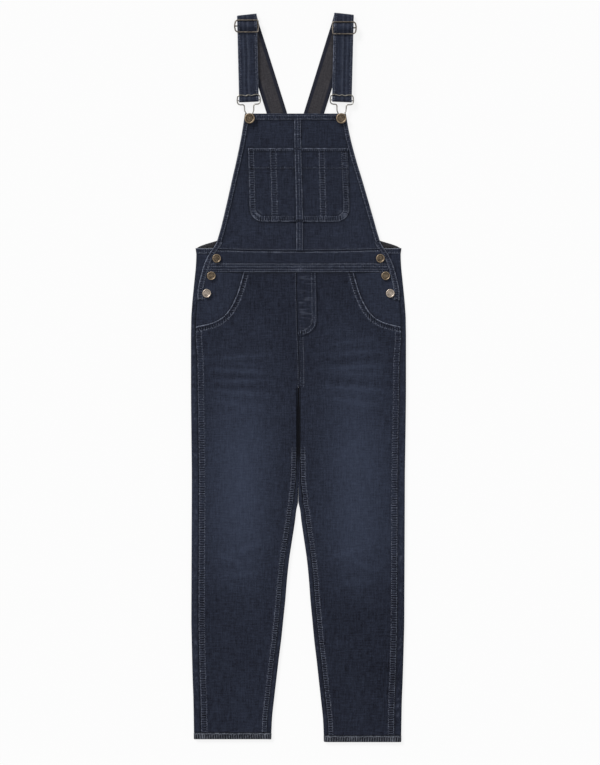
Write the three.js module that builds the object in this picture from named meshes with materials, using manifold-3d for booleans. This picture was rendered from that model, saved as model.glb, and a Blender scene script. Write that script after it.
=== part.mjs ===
// Denim dungarees laid flat on their back, front up. Millimetres, +Z up, straps toward +Y.
// The origin lies under the middle of the whole garment, on the surface that it rests on.
// Left and right are as seen from the front, so left is toward -X.
import * as THREE from 'three';
import { mergeVertices } from 'three/addons/utils/BufferGeometryUtils.js';
import Module from 'manifold-3d';

const wasm = await Module();
wasm.setup();

// Cloth and seams
const WALL = 1.2;
const TRIM_WALL = 1.0;
const GAP = 0.3;
const HALF_GAP = GAP / 2;

// Places along the garment, from the hem up
const HEM_END = -707.4;
const HEM_DEPTH = 12.5;
const CROTCH = -20;
const SIDE_OPENING_FOOT = 150.2;
const FELL_FOOT = 205;
const FELL_TOP = 220.4;
const WAIST_SEAM = 248.6;
const BACK_WAIST = 252;
const BACK_BIB_TOP = 468.3;
const BIB_TOP = 514.2;

// Heights of outer faces above the surface
const LEG_LEVEL = 5.2;
const HIP_LEVEL = 5.8;
const FACING_LEVEL = 4.3;
const UNDERLAP_LEVEL = 2.8;
const WAIST_SIDE_LEVEL = 4.6;
const BIB_LEVEL = 3.8;
const HEM_LEVEL = 5.7;

// The trousers' outer fold: half the width, and how far the back's wrap comes in from the fold to the
// outseam. Above the side opening's foot the wrap is the hidden underlap.
const SIDE_FOLD = [
  { y: -707.4, half: 201.8, wrap: 13.7 },
  { y: -629, half: 203.2, wrap: 13.7 },
  { y: -590, half: 204.7, wrap: 13.7 },
  { y: -512, half: 206.8, wrap: 13.7 },
  { y: -473, half: 207.6, wrap: 13.7 },
  { y: -200, half: 207.7, wrap: 13.7 },
  { y: -136, half: 208.4, wrap: 13.6 },
  { y: -80, half: 209.1, wrap: 13.4 },
  { y: -20, half: 209.6, wrap: 12.8 },
  { y: 34, half: 209.6, wrap: 12.2 },
  { y: 81, half: 209.6, wrap: 9.0 },
  { y: 112, half: 209.2, wrap: 9.3 },
  { y: 145, half: 207.1, wrap: 9.7 },
  { y: 152, half: 206.6, wrap: 9.7 },
  { y: 160, half: 205.8, wrap: 30 },
  { y: 190, half: 202.8, wrap: 35 },
  { y: 219, half: 200.0, wrap: 38 },
  { y: 239, half: 199.2, wrap: 40 },
  { y: 252, half: 200.8, wrap: 42 },
];

// Height of the side fold: low under the facing's hem, then up to the front panel's own level.
const SIDE_FOLD_LEVEL = [
  { y: HEM_END, level: LEG_LEVEL },
  { y: -20, level: LEG_LEVEL },
  { y: 40, level: HIP_LEVEL },
  { y: 88, level: HIP_LEVEL },
  { y: 103, level: FACING_LEVEL },
  { y: 143, level: FACING_LEVEL },
  { y: 151, level: UNDERLAP_LEVEL },
  { y: 252, level: UNDERLAP_LEVEL },
];

// The inner leg: half the space between the legs, and the back's wrap from there to the inseam.
const INNER_FOLD = [
  { y: -707.4, gap: 51.5, wrap: 9.0 },
  { y: -668, gap: 49.8, wrap: 9.0 },
  { y: -629, gap: 45.8, wrap: 9.0 },
  { y: -590, gap: 41.4, wrap: 9.0 },
  { y: -551, gap: 37.0, wrap: 9.0 },
  { y: -512, gap: 32.2, wrap: 9.0 },
  { y: -473, gap: 28.3, wrap: 9.0 },
  { y: -434, gap: 24.4, wrap: 9.0 },
  { y: -395, gap: 21.4, wrap: 9.0 },
  { y: -356, gap: 17.4, wrap: 9.0 },
  { y: -317, gap: 11.7, wrap: 9.0 },
  { y: -278, gap: 5.9, wrap: 9.0 },
  { y: -258, gap: 3.6, wrap: 9.0 },
  { y: -243, gap: 0.7, wrap: 9.0 },
  { y: -200, gap: 0.5, wrap: 4.6 },
  { y: -136, gap: 0.5, wrap: 3.2 },
  { y: -80, gap: 0.5, wrap: 3.2 },
  { y: -20, gap: 0.5, wrap: 3.2 },
];

// The front above the waist seam and beside the side openings: half its width.
const FRONT_EDGE = [
  { y: 150.2, half: 196.7 },
  { y: 164, half: 196.6 },
  { y: 181, half: 194.4 },
  { y: 196, half: 190.7 },
  { y: 215, half: 185.6 },
  { y: 230, half: 179.8 },
  { y: 244, half: 172.2 },
  { y: 255.5, half: 163.8 },
  { y: 264, half: 159.4 },
  { y: 272, half: 156.8 },
  { y: 288, half: 152.0 },
  { y: 307, half: 147.0 },
  { y: 346, half: 136.8 },
  { y: 385, half: 126.8 },
  { y: 424, half: 116.4 },
  { y: 463, half: 107.3 },
  { y: 483, half: 103.4 },
  { y: 514.2, half: 98.3 },
];

// The hip pocket's opening edge, from the waist seam out to the outseam.
const POCKET_OPENING = [
  { x: 107.2, y: 204.7 },
  { x: 111.3, y: 189.5 },
  { x: 117.8, y: 167.9 },
  { x: 125.4, y: 149.0 },
  { x: 135.5, y: 131.2 },
  { x: 148.2, y: 117.2 },
  { x: 163.4, y: 108.4 },
  { x: 179.8, y: 103.4 },
  { x: 199.7, y: 99.0 },
];

// The raised back, from the back waist to the strap roots: half its width.
const BACK_BIB = [
  { y: 252.3, half: 198.5 },
  { y: 257, half: 190 },
  { y: 261, half: 178 },
  { y: 266, half: 161 },
  { y: 275, half: 139 },
  { y: 290, half: 113 },
  { y: 320, half: 85 },
  { y: 360, half: 63 },
  { y: 410, half: 49 },
  { y: 468.3, half: 43 },
];

// Where the centre seams run, and how the trousers' centre front leans.
const CENTRE_FRONT = [
  { y: -20, x: 1.2 },
  { y: 20, x: 1.2 },
  { y: 63, x: -0.2 },
  { y: 112, x: -2.1 },
  { y: 205, x: -4.1 },
];
const BIB_SEAM = [
  { y: 247, x: 2.1 },
  { y: 514.2, x: 4.5 },
];

// Soft folds of the legs as they lie: troughs are negative. Turn is the angle from across the garment.
const LEG_FOLDS = [
  { side: -1, x: 116, y: 38, long: 46, wide: 9, turn: -6, rise: 0.5 },
  { side: -1, x: 112, y: 14, long: 50, wide: 8, turn: 4, rise: -0.5 },
  { side: -1, x: 118, y: -8, long: 48, wide: 8, turn: 0, rise: 0.5 },
  { side: -1, x: 120, y: -36, long: 52, wide: 10, turn: 8, rise: 0.4 },
  { side: 1, x: 100, y: 52, long: 44, wide: 9, turn: 8, rise: 0.5 },
  { side: 1, x: 104, y: 24, long: 52, wide: 8, turn: 2, rise: 0.6 },
  { side: 1, x: 110, y: -14, long: 50, wide: 9, turn: -4, rise: 0.5 },
  { side: 1, x: 112, y: -42, long: 46, wide: 10, turn: -8, rise: 0.4 },
  { side: -1, x: 108, y: -170, long: 70, wide: 26, turn: 62, rise: 0.5 },
  { side: -1, x: 150, y: -330, long: 62, wide: 20, turn: 30, rise: -0.6 },
  { side: -1, x: 96, y: -372, long: 58, wide: 18, turn: -24, rise: 0.5 },
  { side: -1, x: 132, y: -560, long: 80, wide: 24, turn: 74, rise: -0.5 },
  { side: 1, x: 122, y: -190, long: 76, wide: 24, turn: -66, rise: 0.5 },
  { side: 1, x: 92, y: -338, long: 60, wide: 20, turn: 26, rise: -0.6 },
  { side: 1, x: 140, y: -392, long: 56, wide: 18, turn: -20, rise: 0.5 },
  { side: 1, x: 104, y: -548, long: 84, wide: 26, turn: -78, rise: -0.5 },
];

// How far its parts lie from straight: sideways sway, and the right side's rise over the left's
const LYING = { bibSway: -6, legSway: -1.8, legDrop: -2.8, strapRise: 0.9, waistSag: -3 };

// Turned edges and applied pieces
const BIB_HEM = 12;
const BIB_SIDE_HEM = 9.2;
const PLACKET_HEM = 9.8;
const BIB_FELL = 13.4;
const BACK_WAIST_EDGE = 11;
const FLY_REACH = 39;
const FLY_FOOT = 80;
const FLY_CURVE = 34;

// Bib pocket
const POCKET_HALF = 97.2;
const POCKET_FOOT = 303.2;
const POCKET_TOP = 446.6;
const POCKET_CORNER = 27;
const POCKET_HEM = 39;

// Straps, slides and clips
const STRAP_HALF = 19.2;
const STRAP_WALL = 2.0;
const STRAP_LEAN = 0.3126;
const STRAP_ROOT = 21.5;
const SLIDE_WIRE = 1.4;
const SLIDE_LEVEL = 9.0;
const SLIDE_BAR = 11.6;
const SLIDE_Y = { left: 684.8, right: 679.6 };
const STRAP_PLACE = { x: 94.2, y: 694 };
const CLIP_WIRE = 1.2;
const CLIP_LEVEL = 6.6;
const CLIP_BAR = 35.5;
const TOP_FOLD = { x: 94.6, y: 704.4 };

// Buttons
const BIB_BUTTON = { x: 89.2, y: 504.2, radius: 10.2, shank: 3.0, lift: 2.9 };
const SIDE_BUTTON = { radius: 8.5, shank: 3.0, lift: 1.4 };
const SIDE_BUTTONS = [
  { x: 159.3, y: 232, base: 4.75 },
  { x: 169.8, y: 198, base: FACING_LEVEL },
  { x: 178.6, y: 163.8, base: FACING_LEVEL },
];

const DENIM = { color: 0x2a2e3b, roughness: 0.92, metalness: 0 };
const DENIM_INSIDE = { color: 0x3c3738, roughness: 0.95, metalness: 0 };
const BRASS = { color: 0x6f5d4d, roughness: 0.42, metalness: 0.9 };
const WIRE = { color: 0x8a8176, roughness: 0.35, metalness: 0.95 };

const dungarees = new THREE.Group();

function smoothStep(low, high, value) {
  const t = Math.min(1, Math.max(0, (value - low) / (high - low)));
  return t * t * (3 - 2 * t);
}

/** Smooth reading of a table by y, with no overshoot between its rows. */
function read(table, y, column) {
  const last = table.length - 1;
  if (y <= table[0].y) return table[0][column];
  if (y >= table[last].y) return table[last][column];
  const row = table.findIndex((entry) => entry.y > y) - 1;
  const slope = (i) => (table[i + 1][column] - table[i][column]) / (table[i + 1].y - table[i].y);
  const tangent = (i) => {
    if (i === 0) return slope(0);
    if (i === last) return slope(last - 1);
    const before = slope(i - 1);
    const after = slope(i);
    return before * after <= 0 ? 0 : (2 * before * after) / (before + after);
  };
  const span = table[row + 1].y - table[row].y;
  const t = (y - table[row].y) / span;
  const start = (1 + 2 * t) * (1 - t) * (1 - t);
  const end = t * t * (3 - 2 * t);
  const leave = t * (1 - t) * (1 - t) * span;
  const arrive = t * t * (t - 1) * span;
  return start * table[row][column] + end * table[row + 1][column]
    + leave * tangent(row) + arrive * tangent(row + 1);
}

/** Reading of a seam's table along straight stretches, so that both sides of a seam match. */
function seam(table, y, column) {
  const last = table.length - 1;
  const row = Math.min(last - 1, Math.max(0, table.findIndex((entry) => entry.y > y) - 1));
  const start = y >= table[last].y ? table[last - 1] : table[row];
  const end = y >= table[last].y ? table[last] : table[row + 1];
  const t = Math.min(1, Math.max(0, (y - start.y) / (end.y - start.y)));
  return start[column] + (end[column] - start[column]) * t;
}

/** Evenly spaced values from first to last. */
function spaced(first, last, count) {
  return Array.from({ length: count + 1 }, (_, i) => first + ((last - first) * i) / count);
}

/** Distances across a width: the given margins in from both edges, and even steps between them. */
function acrossSteps(width, margins, inner) {
  const deepest = margins[margins.length - 1];
  const fit = Math.min(1, width / (2 * deepest * 1.15));
  const near = margins.map((distance) => distance * fit);
  const middle = spaced(deepest * fit, width - deepest * fit, inner).slice(1, -1);
  return [...near, ...middle, ...near.map((distance) => width - distance).reverse()];
}

/** How the garment lies: the bib leans left, the legs swing a little, the waist seam sags. */
function lie(x, y, z) {
  const side = Math.max(-1, Math.min(1, x / 60));
  const sway = LYING.bibSway * smoothStep(272, 512, y) + LYING.legSway * smoothStep(-20, -707, y);
  const legDrop = LYING.legDrop * side * smoothStep(-245, -707, y);
  const strapRise = LYING.strapRise * side * smoothStep(530, 700, y);
  const sag = LYING.waistSag * Math.max(0, 1 - (x / 165) ** 2)
    * smoothStep(296, 252, y) * smoothStep(208, 244, y);
  return new THREE.Vector3(x + sway, y + legDrop + strapRise + sag, z);
}

/** The front's level above the waist seam and beside it, without the trim on it. */
function upperLevel(x, y) {
  const middle = HIP_LEVEL + (BIB_LEVEL - HIP_LEVEL) * smoothStep(250, 335, y);
  const sides = WAIST_SIDE_LEVEL + (BIB_LEVEL - WAIST_SIDE_LEVEL) * smoothStep(250, 335, y);
  return middle + (sides - middle) * smoothStep(118, 162, Math.abs(x));
}

/** The trouser front's level, with its soft folds fading out toward the seams. */
function legLevel(x, y) {
  const level = LEG_LEVEL + (HIP_LEVEL - LEG_LEVEL) * smoothStep(-20, 40, y);
  const outer = seam(SIDE_FOLD, Math.min(y, 140), 'half') - 14;
  const inner = y < CROTCH ? seam(INNER_FOLD, y, 'gap') + 10 : 6;
  const reach = Math.abs(x);
  const inside = smoothStep(0, 34, outer - reach) * smoothStep(0, 30, reach - inner)
    * smoothStep(84, 66, y) * smoothStep(-690, -640, y);
  let folds = 0;
  for (const fold of LEG_FOLDS) {
    if (Math.sign(x) !== fold.side) continue;
    const turn = THREE.MathUtils.degToRad(fold.turn);
    const dx = reach - fold.x;
    const dy = y - fold.y;
    const along = (dx * Math.cos(turn) + dy * Math.sin(turn)) / fold.long;
    const across = (dy * Math.cos(turn) - dx * Math.sin(turn)) / fold.wide;
    folds += fold.rise * Math.exp(-along * along - across * across);
  }
  const seamRidge = 0.5 * Math.exp(-(((outer - 6 - reach) / 4) ** 2)) * smoothStep(60, 20, y)
    + 0.4 * Math.exp(-(((reach - inner - 6) / 4) ** 2)) * smoothStep(-60, -110, y);
  return level + inside * folds + seamRidge * smoothStep(-694, -690, y);
}

/** A closed mesh from points and triangles, turned so that its faces point outward. */
function closedMesh(points, triangles) {
  let volume = 0;
  const cross = new THREE.Vector3();
  for (const [a, b, c] of triangles) {
    volume += points[a].dot(cross.crossVectors(points[b], points[c]));
  }
  const outward = volume < 0 ? triangles.map(([a, b, c]) => [a, c, b]) : triangles;
  const geometry = new THREE.BufferGeometry();
  geometry.setAttribute('position', new THREE.Float32BufferAttribute(points.flatMap((p) => p.toArray()), 3));
  geometry.setIndex(outward.flat());
  return geometry;
}

/** A wall of cloth through sections. Each section is a row of { face, back } points across it. */
function clothWall(sections, { tube = false } = {}) {
  const across = sections[0].length;
  const points = sections.flatMap((section) => section.flatMap(({ face, back }) => [face, back]));
  const at = (row, column, inner) => 2 * (row * across + (column % across)) + inner;
  const triangles = [];
  const quad = (a, b, c, d) => triangles.push([a, b, c], [a, c, d]);
  const columns = tube ? across : across - 1;
  const lastRow = sections.length - 1;
  for (let row = 0; row < lastRow; row += 1) {
    for (let column = 0; column < columns; column += 1) {
      const next = column + 1;
      quad(at(row, column, 0), at(row, next, 0), at(row + 1, next, 0), at(row + 1, column, 0));
      quad(at(row, column, 1), at(row + 1, column, 1), at(row + 1, next, 1), at(row, next, 1));
    }
    if (!tube) {
      quad(at(row, 0, 1), at(row, 0, 0), at(row + 1, 0, 0), at(row + 1, 0, 1));
      const end = across - 1;
      quad(at(row, end, 0), at(row, end, 1), at(row + 1, end, 1), at(row + 1, end, 0));
    }
  }
  for (let column = 0; column < columns; column += 1) {
    const next = column + 1;
    quad(at(0, column, 0), at(0, column, 1), at(0, next, 1), at(0, next, 0));
    quad(at(lastRow, column, 0), at(lastRow, next, 0), at(lastRow, next, 1), at(lastRow, column, 1));
  }
  return closedMesh(points, triangles);
}

/** A panel between two edge lines of [x, y] points, its face at level(x, y), its wall below that. */
function panel({ from, to, level, wall = WALL, margins = [0], inner = 6 }) {
  const sections = from.map(([x0, y0], row) => {
    const [x1, y1] = to[row];
    const width = Math.hypot(x1 - x0, y1 - y0);
    return acrossSteps(width, margins, inner).map((distance) => {
      const t = distance / width;
      const x = x0 + (x1 - x0) * t;
      const y = y0 + (y1 - y0) * t;
      const top = level(x, y);
      return { face: lie(x, y, top), back: lie(x, y, top - wall) };
    });
  });
  return clothWall(sections);
}

/** A round wire along points, closed on itself or with flat ends. */
function wire(points, radius, { loop = false, sides = 6 } = {}) {
  const count = points.length;
  const rings = points.map((point, i) => {
    const before = points[loop ? (i + count - 1) % count : Math.max(0, i - 1)];
    const after = points[loop ? (i + 1) % count : Math.min(count - 1, i + 1)];
    const along = after.clone().sub(before).normalize();
    const beside = new THREE.Vector3(0, 0, 1).cross(along).normalize();
    const above = along.clone().cross(beside);
    return spaced(0, 2 * Math.PI, sides).slice(0, sides).map((angle) => point.clone()
      .addScaledVector(beside, radius * Math.cos(angle))
      .addScaledVector(above, radius * Math.sin(angle)));
  });
  const at = (ring, side) => (ring % count) * sides + (side % sides);
  const triangles = [];
  for (let ring = 0; ring < (loop ? count : count - 1); ring += 1) {
    for (let side = 0; side < sides; side += 1) {
      triangles.push([at(ring, side), at(ring, side + 1), at(ring + 1, side + 1)]);
      triangles.push([at(ring, side), at(ring + 1, side + 1), at(ring + 1, side)]);
    }
  }
  if (!loop) {
    for (let side = 1; side < sides - 1; side += 1) {
      triangles.push([at(0, 0), at(0, side + 1), at(0, side)]);
      triangles.push([at(count - 1, 0), at(count - 1, side), at(count - 1, side + 1)]);
    }
  }
  return closedMesh(rings.flat(), triangles);
}

/** Joins solids that meet into one. */
function joined(...geometries) {
  const solids = geometries.map((geometry) => {
    const bare = geometry.clone();
    bare.deleteAttribute('normal');
    bare.deleteAttribute('uv');
    const merged = mergeVertices(bare, 1e-4);
    return new wasm.Manifold(new wasm.Mesh({
      numProp: 3,
      vertProperties: new Float32Array(merged.attributes.position.array),
      triVerts: new Uint32Array(merged.index.array),
    }));
  });
  const mesh = solids.reduce((whole, next) => whole.add(next)).getMesh();
  const geometry = new THREE.BufferGeometry();
  geometry.setAttribute('position', new THREE.BufferAttribute(mesh.vertProperties, 3));
  geometry.setIndex(new THREE.BufferAttribute(mesh.triVerts, 1));
  return geometry;
}

function addPiece(name, geometry, finish) {
  const mesh = new THREE.Mesh(geometry, new THREE.MeshStandardMaterial(finish));
  mesh.name = name;
  dungarees.add(mesh);
}

const SIDES = [{ label: 'left', sign: -1 }, { label: 'right', sign: 1 }];

/** One rounded fold's arc in the x-z plane, as face and back points, from one angle to another. */
function foldArc(centreX, y, level, sign, fromAngle, toAngle, steps, wall) {
  const radius = level / 2;
  return spaced(fromAngle, toAngle, steps).map((degrees) => {
    const angle = THREE.MathUtils.degToRad(degrees);
    const place = (r) => lie(sign * (centreX + r * Math.cos(angle)), y, radius + r * Math.sin(angle));
    return { face: place(radius), back: place(radius - wall) };
  });
}

/** Points of the flat underside between two distances from the centre. */
function underside(x0, x1, y, sign, steps, wall) {
  return spaced(x0, x1, steps).slice(1, -1)
    .map((x) => ({ face: lie(sign * x, y, 0), back: lie(sign * x, y, wall) }));
}

/** One leg's section of the back panel: inseam wrap, inner fold, underside, side fold, outseam wrap. */
function backLegSection(y, sign) {
  const level = seam(SIDE_FOLD_LEVEL, y, 'level');
  const radius = level / 2;
  const inner = seam(INNER_FOLD, y, 'gap');
  const outer = seam(SIDE_FOLD, y, 'half');
  const innerSeam = inner + seam(INNER_FOLD, y, 'wrap');
  const outerSeam = outer - seam(SIDE_FOLD, y, 'wrap');
  const wrapEnd = (x) => ({ face: lie(sign * x, y, level), back: lie(sign * x, y, level - WALL) });
  return [
    wrapEnd(innerSeam),
    ...foldArc(inner + radius, y, level, sign, 90, 270, 4, WALL),
    ...underside(inner + radius, outer - radius, y, sign, 3, WALL),
    ...foldArc(outer - radius, y, level, sign, -90, 90, 4, WALL),
    wrapEnd(outerSeam),
  ];
}

/** The seat's section of the back panel: centre-back seam, underside, side fold, wrap or underlap. */
function backSeatSection(y, sign) {
  const level = seam(SIDE_FOLD_LEVEL, y, 'level');
  const radius = level / 2;
  const outer = seam(SIDE_FOLD, y, 'half');
  const wrapEnd = outer - seam(SIDE_FOLD, y, 'wrap');
  return [
    { face: lie(sign * HALF_GAP, y, 0), back: lie(sign * HALF_GAP, y, WALL) },
    ...underside(HALF_GAP, outer - radius, y, sign, 4, WALL),
    ...foldArc(outer - radius, y, level, sign, -90, 90, 4, WALL),
    { face: lie(sign * wrapEnd, y, level), back: lie(sign * wrapEnd, y, level - WALL) },
  ];
}

// Back panels, each from waist to hem in one piece
const LEG_ROWS = [HEM_END + HEM_DEPTH + GAP, ...INNER_FOLD.slice(1).map(({ y }) => y)];
const SEAT_ROWS = [CROTCH - 2, 34, 81, 88, 103, 112, 143, 145, 151, 152, 160, 190, 219, 239, BACK_WAIST];
for (const { label, sign } of SIDES) {
  const leg = clothWall(LEG_ROWS.map((y) => backLegSection(y, sign)));
  const seat = clothWall(SEAT_ROWS.map((y) => backSeatSection(y, sign)));
  addPiece(`back_panel_${label}`, joined(leg, seat), DENIM);
}

// Back bib, from the back waist to the strap roots
const BACK_BIB_ROWS = [BACK_WAIST + GAP, 257, 261, 266, 275, 290, 305, 320, 360, 410, BACK_BIB_TOP];
addPiece('back_bib', panel({
  from: BACK_BIB_ROWS.map((y) => [-read(BACK_BIB, y, 'half'), y]),
  to: BACK_BIB_ROWS.map((y) => [read(BACK_BIB, y, 'half'), y]),
  level: () => WALL,
}), DENIM_INSIDE);

// Front panels: cut away at the pocket opening, then down the outseam to the hem
const OUTSEAM_ROWS = [81, 56, 34, 14, -4, -20, -36, -56, -80, -108, -136, -168, -200, -243, -258, -278,
  -296, -317, -336, -356, -375, -395, -434, -473, -512, -551, -590, -629, -668, HEM_END + HEM_DEPTH + GAP];
const ROW_TILT = 22;
const OPENING_ROWS_END = 76;
for (const { label, sign } of SIDES) {
  const pocketRows = POCKET_OPENING.length - 1;
  const outer = POCKET_OPENING.map(({ x, y }) => [sign * x, y]);
  const drop = (FELL_FOOT - OPENING_ROWS_END) / pocketRows;
  const middle = POCKET_OPENING.map((_, i) => FELL_FOOT - GAP - drop * i);
  for (const y of OUTSEAM_ROWS) {
    outer.push([sign * (seam(SIDE_FOLD, y, 'half') - seam(SIDE_FOLD, y, 'wrap') - GAP), y]);
    middle.push(y - ROW_TILT * smoothStep(-30, 99, y));
  }
  const centre = middle.map((y) => (y > CROTCH
    ? [read(CENTRE_FRONT, y, 'x') + sign * HALF_GAP, y]
    : [sign * (seam(INNER_FOLD, y, 'gap') + seam(INNER_FOLD, y, 'wrap') + GAP), y]));
  addPiece(`front_panel_${label}`, panel({
    from: centre, to: outer, level: legLevel, margins: [0, 5, 12], inner: 6,
  }), DENIM);
}

// Hip pocket facings, under the opening edge and out to the side opening
const FACING_ROWS = [88, 96, 103, 112, 128, 145, SIDE_OPENING_FOOT, 164, 181, FELL_FOOT - GAP];
const FACING_UNDER = 14;
const FACING_LEAST = 60;
const FACING_CORNER = { y: 100, cut: 16 };
function facingOuter(y) {
  if (y >= SIDE_OPENING_FOOT) return read(FRONT_EDGE, y, 'half');
  return seam(SIDE_FOLD, y, 'half') - seam(SIDE_FOLD, y, 'wrap') - GAP;
}
function facingInner(y) {
  const opening = [...POCKET_OPENING].reverse();
  return Math.min(read(opening, y + 10, 'x') - FACING_UNDER, facingOuter(y) - FACING_LEAST);
}
for (const { label, sign } of SIDES) {
  addPiece(`pocket_facing_${label}`, panel({
    from: FACING_ROWS.map((y) => [sign * facingInner(y), y]),
    to: FACING_ROWS.map((y) => [
      sign * (facingOuter(y) - (y < FACING_CORNER.y ? FACING_CORNER.cut : 0)), y,
    ]),
    level: () => FACING_LEVEL,
    inner: 3,
  }), DENIM);
}

// Waistband of the front, and the felled strip below it
const BAND_MARGINS = [0, 20, 40, 62, 84];
const FELL_RISE = 0.5;
function bandAcross(name, y0, y1, raise, wall) {
  const rows = spaced(y0, y1, 2);
  addPiece(name, panel({
    from: rows.map((y) => [-read(FRONT_EDGE, y, 'half'), y]),
    to: rows.map((y) => [read(FRONT_EDGE, y, 'half'), y]),
    level: (x, y) => upperLevel(x, y) + raise,
    wall,
    margins: BAND_MARGINS,
    inner: 4,
  }), DENIM);
}
bandAcross('waistband', FELL_TOP + GAP, WAIST_SEAM - GAP, 0, WALL);
bandAcross('waist_fell', FELL_FOOT, FELL_TOP, FELL_RISE, WALL + FELL_RISE);

// Front bib in two halves, with the felled strip over their seam
const BIB_MARGINS = [0, 12, 28, 46];
const BIB_ROWS = [WAIST_SEAM, 258, 268, 280, 296, 315, 336, 372, 424, 470, BIB_TOP];
addPiece('bib_left', panel({
  from: BIB_ROWS.map((y) => [-read(FRONT_EDGE, y, 'half'), y]),
  to: BIB_ROWS.map((y) => [read(BIB_SEAM, y, 'x') - HALF_GAP, y]),
  level: upperLevel,
  margins: BIB_MARGINS,
  inner: 3,
}), DENIM);
addPiece('bib_right', panel({
  from: BIB_ROWS.map((y) => [read(BIB_SEAM, y, 'x') + HALF_GAP, y]),
  to: BIB_ROWS.map((y) => [read(FRONT_EDGE, y, 'half'), y]),
  level: upperLevel,
  margins: BIB_MARGINS,
  inner: 3,
}), DENIM);

/** Level of a thin strip that lies on the upper front. */
const onUpper = (x, y) => upperLevel(x, y) + GAP + TRIM_WALL;

const SEAM_ROWS = [WAIST_SEAM + GAP, 268, 290, 312, 336, 420, BIB_TOP - BIB_HEM - GAP];
addPiece('bib_centre_fell', panel({
  from: SEAM_ROWS.map((y) => [read(BIB_SEAM, y, 'x') - BIB_FELL / 2, y]),
  to: SEAM_ROWS.map((y) => [read(BIB_SEAM, y, 'x') + BIB_FELL / 2, y]),
  level: onUpper,
  wall: TRIM_WALL,
  inner: 1,
}), DENIM);

// Bib top hem and side hems
const TOP_HEM_ROWS = [BIB_TOP - BIB_HEM, BIB_TOP];
addPiece('bib_top_hem', panel({
  from: TOP_HEM_ROWS.map((y) => [-read(FRONT_EDGE, y, 'half'), y]),
  to: TOP_HEM_ROWS.map((y) => [read(FRONT_EDGE, y, 'half'), y]),
  level: onUpper,
  wall: TRIM_WALL,
  inner: 8,
}), DENIM);
const SIDE_HEM_ROWS = [264, 272, 288, 307, 336, 385, 440, BIB_TOP - BIB_HEM - GAP];
for (const { label, sign } of SIDES) {
  addPiece(`bib_side_hem_${label}`, panel({
    from: SIDE_HEM_ROWS.map((y) => [sign * (read(FRONT_EDGE, y, 'half') - BIB_SIDE_HEM), y]),
    to: SIDE_HEM_ROWS.map((y) => [sign * read(FRONT_EDGE, y, 'half'), y]),
    level: onUpper,
    wall: TRIM_WALL,
    inner: 1,
  }), DENIM);
}

// Placket hems: the curved edges of the side openings, from the bib's side hems to the outseams
const PLACKET_ROWS = [SIDE_OPENING_FOOT + GAP, 164, 181, 196, 205, 215, 230, 244, 255.5, 264 - GAP];
const PLACKET_ACROSS = PLACKET_HEM * 1.1;
const plateau = (y) => smoothStep(196, 206, y);
const placketLevel = (x, y) => GAP + TRIM_WALL + FACING_LEVEL
  + (Math.max(upperLevel(x, y) + FELL_RISE * smoothStep(232, 222, y), FACING_LEVEL) - FACING_LEVEL)
    * plateau(y);
for (const { label, sign } of SIDES) {
  const inner = PLACKET_ROWS.map((y) => [sign * (read(FRONT_EDGE, y, 'half') - PLACKET_ACROSS), y]);
  addPiece(`placket_hem_${label}`, panel({
    from: inner,
    to: PLACKET_ROWS.map((y) => [sign * read(FRONT_EDGE, y, 'half'), y]),
    level: placketLevel,
    wall: TRIM_WALL,
    inner: 1,
  }), DENIM);
}

// Back waist edges: the back's turned top edge where it comes round on to the front
const BACK_EDGE_INSET = { front: 0.8, fold: 2 };
const BACK_EDGE_ROWS = [BACK_WAIST - BACK_WAIST_EDGE, BACK_WAIST - BACK_WAIST_EDGE / 2, BACK_WAIST - GAP];
for (const { label, sign } of SIDES) {
  addPiece(`back_waist_edge_${label}`, panel({
    from: BACK_EDGE_ROWS.map((y) => [sign * (read(FRONT_EDGE, y, 'half') + BACK_EDGE_INSET.front), y]),
    to: BACK_EDGE_ROWS.map((y) => [sign * (seam(SIDE_FOLD, y, 'half') - BACK_EDGE_INSET.fold), y]),
    level: () => UNDERLAP_LEVEL + GAP + TRIM_WALL,
    wall: TRIM_WALL,
    inner: 2,
  }), DENIM);
}

// Mock fly piece, on the right front beside the centre seam
const FLY_ROWS = [...spaced(FLY_FOOT, FLY_FOOT + FLY_CURVE, 5), 150, FELL_FOOT - GAP];
function flyReach(y) {
  const rise = Math.min(1, Math.max(0.03, (y - FLY_FOOT) / FLY_CURVE));
  return FLY_REACH * Math.sqrt(1 - (1 - rise) ** 2);
}
addPiece('mock_fly', panel({
  from: FLY_ROWS.map((y) => [read(CENTRE_FRONT, y, 'x') + HALF_GAP, y]),
  to: FLY_ROWS.map((y) => [read(CENTRE_FRONT, y, 'x') + HALF_GAP + flyReach(y), y]),
  level: (x, y) => legLevel(x, y) + GAP + TRIM_WALL,
  wall: TRIM_WALL,
  inner: 3,
}), DENIM);

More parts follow.
